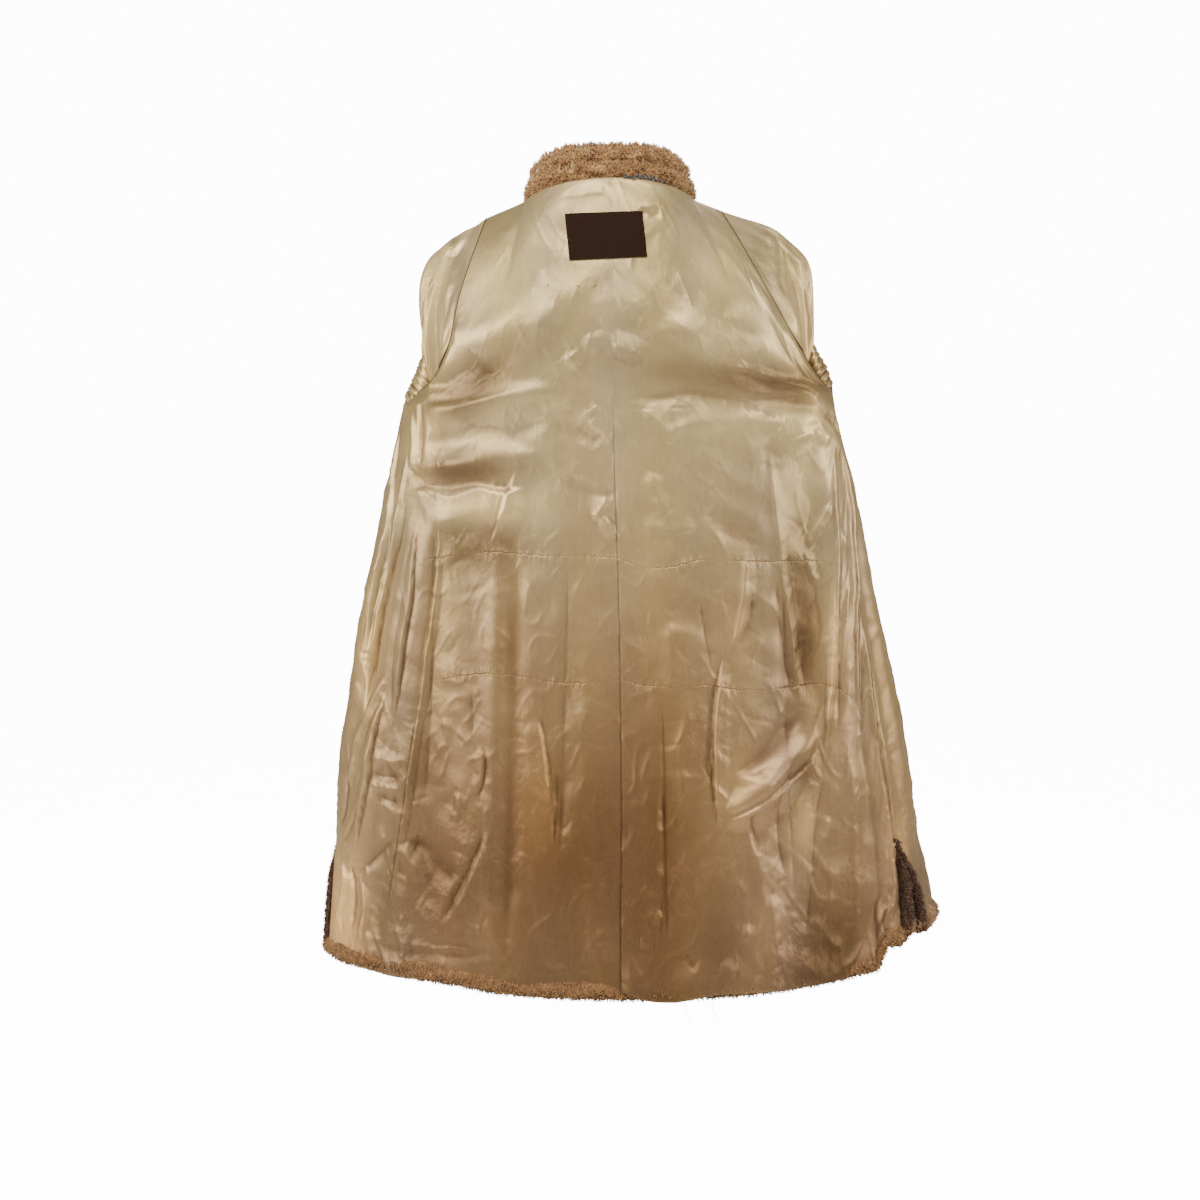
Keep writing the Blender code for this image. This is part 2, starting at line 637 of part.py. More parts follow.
def sleeve_arrays(side_name, side, back, front):
    """Seam surface and lining-side directions of a sleeve, from the armhole to the cuff."""
    mouth, normals, away, shares, signs = mouth_ring(back, front)
    first = flat_ring(side_name, side, SLEEVE_RINGS[0], shares, signs)
    pivot_radius = SEAM_FUR + 3 * GAP
    start = np.zeros_like(mouth)
    heading = np.zeros_like(mouth)
    facing = np.zeros_like(mouth)
    for index, share in enumerate(shares):
        near_top = smoothstep((share - APEX_START) / (APEX_END - APEX_START))
        away[index] = mix(away[index], away[YOKE_LEVELS], near_top)
        away[index] /= np.linalg.norm(away[index])
        fold = math.radians(FOLD_ANGLE) * (1.0 - smoothstep(share / FOLD_END))
        out = math.cos(fold) * normals[index] + math.sin(fold) * away[index]
        ahead = math.cos(fold) * away[index] - math.sin(fold) * normals[index]
        start[index] = mouth[index] + pivot_radius * (out - normals[index]) + 2 * GAP * ahead
        heading[index] = ahead
        facing[index] = out
    rings = [start]
    chord = np.linalg.norm(first - start, axis=1)
    squareness = [smoothstep((share - REACH_START) / (REACH_END - REACH_START))
                  for share in shares]
    leave, arrive = (chord * [mix(FOLD_REACH, reach, square) for square in squareness]
                     for reach in SLEEVE_REACH[side_name])
    leave, arrive = leave[:, None], arrive[:, None]
    down = np.array((0.0, 0.0, -1.0))
    near_shoulder = np.array([smoothstep((share - BULGE_START) / (BULGE_END - BULGE_START))
                              for share in shares])
    for share, bulge in zip(SLEEVE_BLEND, SLEEVE_BULGE[side_name]):
        ring = (start * (1 - 3 * share ** 2 + 2 * share ** 3)
                + first * (3 * share ** 2 - 2 * share ** 3)
                + heading * leave * (share - 2 * share ** 2 + share ** 3)
                + down * arrive * (share ** 3 - share ** 2))
        ring[:, 0] += side * bulge * MM * near_shoulder
        rings.append(ring)
    rings.append(first)
    for row in SLEEVE_RINGS[1:]:
        rings.append(flat_ring(side_name, side, row, shares, signs))
    points = np.array(rings)
    along = np.roll(points, -1, axis=1) - np.roll(points, 1, axis=1)
    down_rows = np.gradient(points, axis=0)
    directions = np.cross(along, down_rows)
    directions /= np.linalg.norm(directions, axis=2, keepdims=True)
    if np.dot(directions[0, YOKE_LEVELS], facing[YOKE_LEVELS]) < 0:
        directions = -directions
    inside = 0.5 * (np.roll(points, -1, axis=1) + np.roll(points, 1, axis=1)) - points
    for row in range(1, len(points)):
        for column, share in enumerate(shares):
            if abs(share - FOLD_SHARE) < FOLD_EDGE:
                weight = smoothstep(0.5 * row)
                inwards = inside[row, column] / np.linalg.norm(inside[row, column])
                directions[row, column] = mix(directions[row, column], inwards, weight)
                directions[row, column] /= np.linalg.norm(directions[row, column])
    directions[0] = facing
    shown = [column for column, share in enumerate(shares) if share > FOLD_SHARE + FOLD_EDGE]
    return points, directions, shown


def build_sleeves(halves, fronts, fur, lining):
    for name, side in (("left", -1), ("right", 1)):
        points, directions, shown = sleeve_arrays(name, side, halves[name], fronts[name])
        lengths = np.linalg.norm(np.diff(points, axis=0), axis=2)
        depth = np.full(points.shape[:2], SEAM_FUR)
        for row in range(1, len(points)):
            for column in range(points.shape[1]):
                depth[row, column] = faded_fur(lengths[:row, column].sum())
        add_wall("fur_sleeve_" + name, moved(points, directions, -depth), points, fur,
                 closed=True)
        points, directions = points[:, shown], directions[:, shown]
        add_wall("lining_sleeve_" + name, moved(points, directions, GAP),
                 moved(points, directions, GAP + LINING), lining)


# ---------------------------------------------------------------- collar

def collar_base(share):
    """The neck seam from the left front (0) round the back (0.5) to the right front (1)."""
    side = -1 if share < 0.5 else 1
    neck_x, neck_z = NECK_LEFT if side < 0 else NECK_RIGHT
    from_back = abs(share - 0.5) * 2.0
    turn = from_back * math.pi
    front = turn > 0.5 * math.pi
    depth, middle_z = NECK_FRONT if front else NECK_BACK
    x = neck_x * math.sin(turn)
    y = -depth * math.cos(turn)
    z = mix(neck_z, middle_z, abs(math.cos(turn)) ** NECK_POWER)
    return np.array((x, y, z))


def collar_height(turn):
    """The collar's top edge; turn is 0 at the centre back and pi at the centre front."""
    if turn < 0.5 * math.pi:
        return mix(COLLAR_TOP_SIDE, COLLAR_TOP_BACK, math.cos(turn))
    return mix(COLLAR_TOP_SIDE, COLLAR_TOP_FRONT, abs(math.cos(turn)))


def build_collar(fur):
    """A wall of two soft rolls that stands on the neck seam, open at the centre front."""
    outer = np.zeros((COLLAR_STATIONS, len(COLLAR_ROLLS), 3))
    inner = np.zeros_like(outer)
    for station in range(COLLAR_STATIONS):
        share = mix(COLLAR_END_GAP, 1.0 - COLLAR_END_GAP, station / (COLLAR_STATIONS - 1))
        base = collar_base(share)
        ahead = collar_base(share + COLLAR_STEP) - collar_base(share - COLLAR_STEP)
        outward = np.array((ahead[1], -ahead[0], 0.0))
        outward /= np.linalg.norm(outward)
        top = collar_height(abs(share - 0.5) * 2.0 * math.pi)
        bottom = base[2] + LINING + 4 * GAP
        for place, (height, outer_offset, inner_offset) in enumerate(COLLAR_ROLLS):
            level = np.array((0.0, 0.0, mix(bottom, top, height) - base[2]))
            outer[station, place] = base + outward * outer_offset + level
            inner[station, place] = base + outward * inner_offset + level
    add_wall("fur_collar", inner, outer, fur)


# ---------------------------------------------------------------- label

def back_place(x, z):
    """The back's seam surface at x and z, with its normal, found step by step."""
    side = -1 if x < 0 else 1
    angle = 0.0
    level = SEARCH_LEVEL
    for _ in range(SEARCH_STEPS):
        point = plain_point(side * angle, level, side)
        level = min(max(level + (z - point[2]) * LEVELS_PER_METRE, 1.0), 1.99)
        angle = min(max(angle + (abs(x) - abs(point[0])) * DEGREES_PER_METRE, 0.0), 89.0)
    limits = (0.0, 90.0) if side > 0 else (-90.0, 0.0)
    normal = surface_normal(side * angle, level, side, limits)
    return plain_point(side * angle, level, side), normal


def build_label(material):
    columns, rows = LABEL_CELLS
    tilt = math.radians(LABEL_TILT)
    inner = np.zeros((rows + 1, columns + 1, 3))
    outer = np.zeros_like(inner)
    for row in range(rows + 1):
        for column in range(columns + 1):
            across = (column / columns - 0.5) * LABEL_WIDTH
            up = (row / rows - 0.5) * LABEL_HEIGHT
            x = LABEL_X + across * math.cos(tilt) - up * math.sin(tilt)
            z = LABEL_Z + across * math.sin(tilt) + up * math.cos(tilt)
            point, normal = back_place(x, z)
            inner[row, column] = point + normal * (GAP + LINING + LABEL_LIFT)
            outer[row, column] = point + normal * (GAP + LINING + LABEL_LIFT + LABEL_THICK)
    add_wall("label", inner, outer, material)


# ---------------------------------------------------------------- the coat

for old in list(bpy.data.objects):
    bpy.data.objects.remove(old, do_unlink=True)
coat = bpy.data.collections.new("sheared_fur_coat")
bpy.context.scene.collection.children.link(coat)

fur_material = add_material("sheared_fur", FUR_COLOUR, 0.9)
lining_material = add_material("satin_lining", LINING_COLOUR, 0.45)
label_material = add_material("woven_label", LABEL_COLOUR, 0.7)

back_halves = build_back(fur_material, lining_material)
front_panels = build_fronts(fur_material, lining_material)
build_sleeves(back_halves, front_panels, fur_material, lining_material)
build_collar(fur_material)
build_label(label_material)
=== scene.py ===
"""Looks of a sheared fur coat turned inside out: satin lining outside, fur inside.

Metres, +Z up, in the frame of the solids: the back faces -Y, the left side is at -X and the
origin is at the nape. The body is a set of rings. Angle 0 is the centre back, 90 a side and
180 the centre front. Level 0 is the hem, 1 the underarm, 2 the shoulder and neck edge.
Every layer is the seam surface moved along its normal: fur inwards, lining outwards.
"""

import math

import bpy
import numpy as np
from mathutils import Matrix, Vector
from mathutils.bvhtree import BVHTree


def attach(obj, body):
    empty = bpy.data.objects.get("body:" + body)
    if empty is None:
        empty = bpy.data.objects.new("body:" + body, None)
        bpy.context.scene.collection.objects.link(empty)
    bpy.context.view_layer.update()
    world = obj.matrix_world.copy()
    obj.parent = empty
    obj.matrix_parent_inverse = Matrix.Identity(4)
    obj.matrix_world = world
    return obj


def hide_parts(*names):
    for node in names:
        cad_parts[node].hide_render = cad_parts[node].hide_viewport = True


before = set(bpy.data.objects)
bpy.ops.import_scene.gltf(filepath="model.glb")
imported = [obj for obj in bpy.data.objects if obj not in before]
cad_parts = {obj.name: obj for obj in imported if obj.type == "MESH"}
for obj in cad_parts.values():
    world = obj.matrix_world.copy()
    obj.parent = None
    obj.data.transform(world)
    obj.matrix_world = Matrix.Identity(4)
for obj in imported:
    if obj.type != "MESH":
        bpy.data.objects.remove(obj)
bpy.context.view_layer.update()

MM = 0.001
CM = 0.01
FAR = 9.0                   # further than anything on the coat
WHITE = (1.0, 1.0, 1.0)
BODY = "root"
SIDES = ((-1, "left"), (1, "right"))

# ---------------------------------------------------------------- sizes of the solids

FUR = 8.0 * MM
SEAM_FUR = 2.5 * MM
SEAM_FADE = 0.080
LINING_OUT = 1.5 * MM       # outside of the lining, from the seam surface
HEM_Z_LEFT = -1.070
HEM_Z_BACK = -1.086
HEM_Z_RIGHT = -1.050
HEM_Z_FRONT = -1.060
RIGHT_HEM_LIFT = 0.022
RIGHT_HEM_LIFT_ANGLES = (57.0, 66.0)
SLIT_BAND_ANGLE = 6.5
SLIT_OPEN_ANGLE = 0.7
SLIT_LEVEL = 0.19
FRONT_HALF_GAP = 0.035
FRONT_FIRST_ANGLE = 90.01
UNDERARM_SEAM_ANGLE = 90.0
SIDE_SEAM_ANGLE = {-1: 88.0, 1: 67.0}
SEAM_SWING = 0.45           # how far below the underarm the seam has swung to its place
SEAM_INSET = 0.04
SEAM_BAND_ANGLE = 1.0
CENTRE_UNDERARM_Z = -0.310

SECTION_COLUMNS = ("z", "left", "right", "back", "front", "fullness", "centre")
SECTIONS = (
    (-1.100, 0.4020, 0.4530, 0.224, 0.205, 0.80, 0.010),
    (-1.033, 0.3990, 0.4500, 0.218, 0.200, 0.79, 0.010),
    (-0.964, 0.3930, 0.4390, 0.208, 0.193, 0.78, 0.010),
    (-0.905, 0.3880, 0.4240, 0.200, 0.186, 0.77, 0.011),
    (-0.812, 0.3830, 0.4120, 0.188, 0.177, 0.75, 0.011),
    (-0.711, 0.3680, 0.3930, 0.174, 0.166, 0.72, 0.010),
    (-0.624, 0.3560, 0.3760, 0.163, 0.156, 0.70, 0.009),
    (-0.547, 0.3410, 0.3600, 0.154, 0.148, 0.68, 0.007),
    (-0.480, 0.3260, 0.3480, 0.147, 0.140, 0.66, 0.005),
    (-0.420, 0.3140, 0.3350, 0.142, 0.134, 0.64, 0.003),
    (-0.362, 0.3000, 0.3190, 0.138, 0.129, 0.62, 0.001),
    (-0.305, 0.2890, 0.3060, 0.135, 0.125, 0.60, 0.000),
    (-0.270, 0.2850, 0.3000, 0.134, 0.123, 0.60, 0.000),
)
ARMHOLES = {
    -1: ((-0.2870, 0.000, -0.3050),
         (-0.2610, 0.056, -0.2880),
         (-0.2380, 0.083, -0.2640),
         (-0.2190, 0.091, -0.2220),
         (-0.2090, 0.085, -0.1700),
         (-0.1960, 0.066, -0.1240),
         (-0.1830, 0.036, -0.0840),
         (-0.1720, 0.000, -0.0520)),
    1: ((0.3000, 0.000, -0.2850),
        (0.2830, 0.052, -0.2740),
        (0.2620, 0.079, -0.2460),
        (0.2360, 0.089, -0.2030),
        (0.2110, 0.084, -0.1580),
        (0.1900, 0.064, -0.1180),
        (0.1680, 0.034, -0.0780),
        (0.1480, 0.000, -0.0420)),
}
NECK = {-1: (-0.117, -0.0290), 1: (0.109, -0.0270)}
NECK_BACK = (0.070, 0.0000)
NECK_FRONT = (0.092, -0.0850)
NECK_POWER = 1.4
BACK_YOKE = ((0.0, 0.135, -0.310), (0.3, 0.134, -0.222), (0.55, 0.129, -0.140),
             (0.8, 0.110, -0.060), (1.0, 0.070, 0.000))
FRONT_YOKE = ((0.0, 0.125, -0.310), (0.35, 0.124, -0.230), (0.7, 0.114, -0.150),
              (1.0, 0.092, -0.085))
SHOULDER_NORMAL = (0.36, 0.0, 0.93)
YOKE_FLATTENING = 0.35
YOKE_POWER = 2.6
TOP_BLEND_START = 0.45
TOP_BLEND_POWER = 1.6
NORMAL_ANGLE_STEP = 0.6     # the steps that a normal is measured over
NORMAL_LEVEL_STEP = 0.02
YOKE_ROWS = 9               # the solids' rows above the underarm

FOLD_COLUMNS = ("angle_top", "z_top", "angle_low", "z_low", "half_width", "height")
FOLDS = (
    (-52.0, -0.430, -55.0, -0.760, 10.0, 6.5 * MM),
    (-65.0, -0.420, -67.0, -0.740, 8.0, -9.0 * MM),
    (-77.0, -0.440, -79.0, -0.940, 8.0, 5.0 * MM),
    (-59.0, -0.680, -65.0, -0.960, 8.0, 7.0 * MM),
    (-52.0, -0.760, -55.0, -1.150, 8.0, -6.0 * MM),
    (-30.0, -0.560, -26.0, -1.200, 14.0, 5.0 * MM),
    (-14.0, -0.600, -10.0, -1.200, 9.0, -4.0 * MM),
    (66.0, -0.330, 44.0, -0.930, 9.0, 8.0 * MM),
    (56.0, -0.330, 32.0, -0.900, 9.0, -5.0 * MM),
    (64.0, -0.560, 55.0, -1.200, 7.0, 8.0 * MM),
    (73.0, -0.420, 72.0, -0.960, 6.0, -6.0 * MM),
    (47.0, -0.700, 18.0, -0.880, 8.0, 7.0 * MM),
    (22.0, -0.860, 24.0, -1.200, 13.0, 6.0 * MM),
    (88.0, -0.560, 90.0, -1.200, 9.0, 6.0 * MM),
    (112.0, -0.480, 108.0, -1.200, 12.0, -9.0 * MM),
    (134.0, -0.420, 130.0, -1.200, 13.0, 9.0 * MM),
    (156.0, -0.520, 153.0, -1.200, 12.0, -7.0 * MM),
    (-106.0, -0.480, -104.0, -1.200, 11.0, -9.0 * MM),
    (-128.0, -0.420, -125.0, -1.200, 13.0, 9.0 * MM),
    (-151.0, -0.540, -148.0, -1.200, 12.0, -7.0 * MM),
)
FOLD_FADE = 0.3

FOLD_SHARE = 0.30
FOLD_END = 0.50
FOLD_ANGLE = 162.0
LUMEN_HALF = 9.5 * MM
SLEEVE_CENTRE = {-1: 0.2540, 1: 0.2750}
SLEEVE_BEND = 4.5
SLEEVE_COLUMNS = ("outer_z", "inner_z", "half_width", "shift")
SLEEVE_RINGS = (
    (-0.375, -0.355, 0.056, 0.000),
    (-0.430, -0.415, 0.067, 0.001),
    (-0.500, -0.480, 0.077, 0.003),
    (-0.570, -0.540, 0.080, 0.005),
    (-0.640, -0.600, 0.079, 0.007),
    (-0.705, -0.655, 0.076, 0.008),
)
SLEEVE_REACH = {-1: (1.65, 2.5), 1: (1.95, 2.4)}
FOLD_REACH = 0.50
REACH_START = 0.28
REACH_END = 0.80
APEX_START = 0.50
APEX_END = 0.95

COLLAR_ROLLS = (
    (0.00, 1.0 * MM, -15.0 * MM),
    (0.16, 3.5 * MM, -20.0 * MM),
    (0.36, 2.0 * MM, -23.0 * MM),
    (0.50, -3.5 * MM, -25.0 * MM),
    (0.66, -4.0 * MM, -28.0 * MM),
    (0.84, -10.0 * MM, -30.0 * MM),
    (1.00, -20.0 * MM, -27.0 * MM),
)
COLLAR_TOP_BACK = 0.048
COLLAR_TOP_SIDE = 0.042
COLLAR_TOP_FRONT = -0.030
COLLAR_END_GAP = 0.030

LABEL_WIDTH = 0.108
LABEL_HEIGHT = 0.063
LABEL_X = -0.009
LABEL_Z = -0.079
LABEL_TILT = -1.5

# ---------------------------------------------------------------- creases
# Where a crease shows from the photographer's place, on an upright plane through the back:
# centimetres to the right of the nape and above it. Half width and height are millimetres
# on the cloth. A lap is a ridge that is steep on one side.

VIEW_PLACE = np.array((-0.0174, -3.33, -0.2045))
VIEW_PLANE_Y = -0.16
VIEW_TILT = 6.4
VIEW_LENS = 72.0

BACK_CREASES = (
    ("lap_left", 2.6, 3.4, ((-27.6, -30.5), (-28.7, -37.0), (-29.8, -44.6), (-30.6, -48.9),
     (-31.6, -52.4), (-32.3, -56.5), (-33.2, -62.7))),
    ("ridge", 2.4, 2.2, ((-27.0, -34.8), (-28.0, -41.0), (-29.2, -48.7), (-30.4, -54.3),
     (-31.6, -60.0), (-32.8, -66.1))),
    ("trough", 3.0, 4.2, ((-27.2, -41.8), (-27.9, -45.8), (-29.0, -50.4), (-29.9, -54.4),
     (-30.8, -58.5), (-31.7, -63.2), (-32.5, -68.2), (-33.5, -73.8))),
    ("lap_right", 3.6, 3.4, ((-26.0, -45.5), (-26.3, -48.9), (-26.6, -52.4), (-27.0, -56.5),
     (-27.7, -60.2), (-28.3, -65.2), (-29.2, -72.0))),
    ("lap_left", 3.2, 2.6, ((-23.0, -42.4), (-23.2, -45.6), (-23.3, -49.7), (-23.7, -53.9),
     (-24.2, -58.7), (-24.8, -62.6), (-25.4, -67.6), (-26.0, -71.3), (-27.0, -77.6),
     (-28.0, -84.7),
     (-29.2, -91.8), (-30.3, -100.2))),
    ("trough", 2.4, 1.8, ((-25.4, -29.8), (-25.3, -34.0), (-25.6, -38.4))),
    ("ridge", 2.4, 1.6, ((-26.6, -30.6), (-26.5, -34.4), (-26.8, -39.0))),
    ("ridge", 4.5, 3.6, ((-29.6, -66.1), (-30.6, -66.6), (-31.5, -68.6), (-32.9, -71.6),
     (-34.1, -74.7), (-34.8, -78.0), (-35.4, -83.0))),
    ("lap_right", 3.6, 4.0, ((-30.3, -68.1), (-31.4, -71.9), (-32.3, -75.7), (-33.1, -80.6),
     (-34.0, -85.1), (-34.6, -89.6))),
    ("trough", 3.0, 3.0, ((-35.2, -78.9), (-35.7, -83.0), (-36.3, -86.6))),
    ("trough", 2.6, 2.4, ((-34.2, -83.8), (-35.1, -86.4), (-36.0, -88.5))),
    ("trough", 8.0, 3.0, ((-32.7, -78.7), (-30.7, -80.1), (-28.5, -79.7))),
    ("ridge", 5.0, 2.5, ((-32.6, -80.8), (-30.4, -81.5), (-28.6, -81.6))),
    ("trough", 6.0, 2.5, ((-32.1, -82.6), (-30.2, -83.0), (-28.8, -83.8))),
    ("ridge", 4.0, 2.0, ((-32.3, -77.2), (-29.9, -77.8), (-28.0, -77.6))),
    ("trough", 4.0, 2.5, ((-34.5, -93.5), (-31.9, -90.8), (-29.2, -88.2))),
    ("trough", 18.0, 4.0, ((-28.1, -88.2), (-25.9, -89.2), (-23.5, -92.3), (-20.3, -93.7))),
    ("ridge", 14.0, 2.6, ((-28.9, -89.3), (-27.0, -91.2), (-24.9, -94.5))),
    ("ridge", 3.4, 3.2, ((-36.4, -90.4), (-36.0, -94.6), (-36.8, -98.6), (-36.2, -103.0))),
    ("trough", 3.2, 2.8, ((-35.4, -91.6), (-34.8, -96.0), (-35.4, -101.0))),
    ("ridge", 3.0, 2.4, ((-34.2, -93.6), (-33.6, -97.6), (-34.4, -102.6))),
    ("trough", 4.0, 2.4, ((-17.3, -86.6), (-18.1, -89.6), (-19.1, -91.8), (-21.4, -96.3),
     (-22.9, -99.6))),
    ("ridge", 5.0, 1.6, ((-16.7, -87.1), (-17.9, -90.9), (-19.8, -95.1), (-22.0, -99.7))),
    ("lap_right", 4.0, 2.0, ((-17.8, -75.4), (-17.3, -78.0), (-17.7, -80.6), (-18.4, -82.9))),
    ("ridge", 4.0, 1.8, ((-21.1, -81.8), (-20.9, -83.8), (-21.6, -86.0))),
    ("trough", 3.5, 1.0, ((-19.0, -68.4), (-18.8, -71.6), (-19.0, -75.0))),
    ("ridge", 3.0, 1.0, ((-22.7, -71.9), (-22.3, -74.3), (-22.8, -76.5))),
    ("ridge", 3.0, 1.5, ((-33.4, -101.8), (-29.0, -102.7), (-23.6, -103.6), (-17.4, -103.9))),
    ("ridge", 4.0, 1.6, ((-29.3, -100.1), (-28.5, -103.0), (-28.9, -105.3))),
    ("ridge", 4.0, 1.5, ((-33.3, -100.8), (-33.0, -103.3), (-32.6, -104.7))),
    ("trough", 14.0, 1.4, ((-32.5, -103.0), (-26.1, -103.6), (-19.3, -103.9), (-15.3, -103.6))),
    ("ridge", 34.0, 5.0, ((-26.0, -25.5), (-20.0, -22.5), (-13.0, -20.0), (-5.0, -20.0))),
    ("ridge", 18.0, 3.6, ((-26.0, -31.6), (-20.0, -30.4), (-14.0, -28.9), (-6.0, -28.0))),
    ("trough", 17.0, 2.6, ((-25.5, -34.9), (-21.0, -34.7), (-17.0, -33.2), (-13.0, -33.4),
     (-8.0, -32.0))),
    ("ridge", 16.0, 3.8, ((-26.0, -38.4), (-21.0, -37.9), (-15.0, -37.0), (-9.0, -36.5))),
    ("lap_left", 14.0, 3.4, ((-11.0, -41.0), (-14.6, -41.9), (-18.0, -41.4), (-21.6, -42.3),
     (-24.8, -41.6), (-27.4, -42.0))),
    ("ridge", 20.0, 2.4, ((-24.0, -45.6), (-20.0, -45.0), (-15.0, -44.0), (-10.0, -43.5))),
    ("trough", 4.6, 1.8, ((-27.6, -38.2), (-26.0, -39.6), (-24.0, -41.4), (-22.4, -43.4))),
    ("ridge", 3.0, 1.4, ((-22.5, -35.6), (-22.9, -37.4), (-22.6, -39.4))),
    ("lap_left", 8.0, 1.4, ((-12.7, -38.5), (-13.6, -41.4), (-14.7, -44.8), (-16.3, -48.9))),
    ("trough", 22.0, 2.0, ((-20.9, -49.4), (-19.6, -52.0), (-18.2, -56.0))),
    ("trough", 15.0, 3.0, ((-12.4, -42.7), (-13.1, -48.7), (-13.0, -52.7),
     (-12.9, -57.3), (-13.2, -62.0), (-13.2, -69.4), (-13.5, -77.6), (-13.8, -87.1),
     (-14.3, -96.7),
     (-14.6, -108.3))),
    ("ridge", 15.0, 2.0, ((-15.4, -47.3), (-15.5, -53.3), (-15.8, -62.7), (-16.0, -77.6),
     (-16.4, -94.0), (-16.8, -106.4))),
    ("trough", 7.0, 2.2, ((6.6, -69.0), (6.9, -80.0), (7.2, -92.0), (7.4, -104.0))),
    ("trough", 6.0, 1.6, ((-23.6, -42.0), (-23.9, -56.0), (-24.4, -70.0), (-25.4, -85.0))),
    ("trough", 8.0, 2.0, ((-6.0, -51.0), (-6.3, -62.0), (-6.6, -74.0), (-7.2, -92.0))),
    ("trough", 8.0, 2.4, ((22.6, -49.0), (22.9, -60.0), (23.6, -76.0), (24.6, -98.0))),
    ("lap_right", 8.0, 2.8, ((-10.2, -71.2), (-9.6, -74.9), (-9.2, -78.0), (-8.7, -81.6),
     (-8.3, -83.8))),
    ("trough", 6.0, 2.0, ((-7.5, -77.6), (-7.6, -83.7), (-8.1, -89.8))),
    ("trough", 14.0, 1.2, ((-4.0, -19.3), (-1.5, -19.8), (1.1, -20.1), (4.8, -20.6))),
    ("ridge", 8.0, 1.5, ((-3.8, -21.1), (-2.8, -22.4), (-1.7, -23.7))),
    ("ridge", 8.0, 1.4, ((-0.4, -22.2), (1.7, -23.2), (3.8, -23.2))),
    ("trough", 6.0, 1.0, ((-0.2, -23.2), (0.9, -24.5), (3.5, -25.0))),
    ("ridge", 5.0, 2.0, ((-6.2, -23.2), (-5.4, -24.5), (-4.4, -25.8))),
    ("ridge", 5.0, 1.6, ((-1.7, -30.0), (-3.3, -31.3), (-4.9, -32.9))),
    ("ridge", 5.0, 2.2, ((-3.6, -32.1), (-1.7, -33.7), (-0.4, -35.6))),
    ("trough", 14.0, 1.8, ((-8.6, -32.7), (-5.7, -33.2), (-2.8, -34.2), (-0.7, -35.3))),
    ("ridge", 5.0, 2.2, ((-0.9, -42.2), (-1.7, -44.0), (-2.8, -45.3))),
    ("lap_right", 5.0, 2.4, ((-1.5, -44.6), (-0.4, -46.1), (1.2, -48.0))),
    ("ridge", 9.0, 2.2, ((3.5, -30.8), (6.2, -32.7), (8.3, -35.6))),
    ("ridge", 6.0, 2.0, ((4.3, -38.7), (5.7, -42.2), (6.7, -45.3))),
    ("trough", 14.0, 1.6, ((-7.0, -40.0), (-3.1, -41.4), (0.9, -42.2))),
    ("ridge", 8.0, 1.8, ((3.6, -45.3), (7.3, -46.7), (11.5, -46.4))),
    ("ridge", 32.0, 5.0, ((4.0, -20.5), (14.0, -21.5), (20.0, -23.0), (27.5, -27.5))),
    ("trough", 14.0, 3.6, ((2.0, -28.8), (11.0, -28.6), (20.6, -29.6), (27.8, -30.6))),
    ("ridge", 15.0, 2.4, ((5.0, -33.6), (12.0, -32.6), (20.0, -32.0), (28.4, -31.8))),
    ("ridge", 5.0, 2.2, ((12.0, -24.2), (18.7, -25.9), (23.7, -27.8), (27.6, -30.0))),
    ("ridge", 9.0, 1.8, ((19.6, -26.8), (23.6, -28.2), (26.2, -29.4), (28.2, -30.4))),
    ("trough", 3.6, 4.2, ((27.4, -31.7), (28.9, -32.3), (30.2, -32.8), (31.4, -33.6))),
    ("ridge", 8.0, 3.4, ((19.0, -35.6), (23.4, -34.9), (27.2, -34.0), (31.2, -33.9))),
    ("trough", 11.0, 1.6, ((18.7, -38.2), (23.0, -37.6), (27.2, -36.3))),
    ("ridge", 5.0, 2.0, ((26.2, -33.2), (27.3, -34.5), (28.3, -35.6))),
    ("ridge", 5.0, 3.0, ((20.6, -35.6), (21.1, -41.6), (22.0, -48.4), (22.6, -53.9), (23.3, -58.4),
     (24.1, -64.1), (25.1, -70.3))),
    ("trough", 6.0, 2.6, ((21.6, -53.3), (22.2, -58.7), (22.8, -62.7), (24.2, -69.7))),
    ("trough", 6.0, 2.8, ((23.0, -47.5), (23.6, -52.0), (24.5, -57.3), (25.0, -62.7),
     (26.0, -69.4))),
    ("ridge", 2.8, 3.6, ((29.0, -34.0), (29.2, -42.3), (29.5, -45.9), (29.7, -49.2), (29.6, -53.9),
     (29.4, -61.5), (29.2, -67.7), (28.7, -73.2), (28.1, -78.1))),
    ("trough", 4.0, 2.8, ((30.4, -49.6), (30.4, -56.0), (30.4, -61.5), (30.3, -69.4),
     (29.8, -74.9))),
    ("ridge", 3.5, 2.6, ((29.0, -42.6), (27.7, -44.9), (26.4, -47.2), (25.6, -49.2))),
    ("ridge", 3.5, 2.2, ((25.3, -49.6), (26.1, -52.0), (27.2, -54.1))),
    ("ridge", 3.5, 2.0, ((29.8, -46.5), (30.6, -48.1), (31.3, -49.7))),
    ("ridge", 2.8, 3.6, ((29.7, -34.5), (30.9, -40.0), (31.6, -44.0), (31.9, -48.9), (32.4, -53.9),
     (32.2, -58.7), (32.2, -61.5), (32.5, -66.7), (33.3, -72.4))),
    ("lap_right", 5.0, 6.0, ((32.9, -56.0), (33.3, -61.4), (34.0, -68.1), (35.0, -75.5),
     (35.8, -80.3),
     (36.8, -88.0), (37.4, -97.0), (37.8, -104.0), (38.1, -109.5))),
    ("trough", 4.0, 5.0, ((33.7, -59.4), (34.9, -68.1), (36.3, -77.6), (38.2, -87.1),
     (39.2, -93.0),
     (39.8, -98.0))),
    ("ridge", 6.0, 3.5, ((33.9, -56.0), (35.0, -64.1), (36.4, -72.1), (37.5, -80.3),
     (38.3, -87.1))),
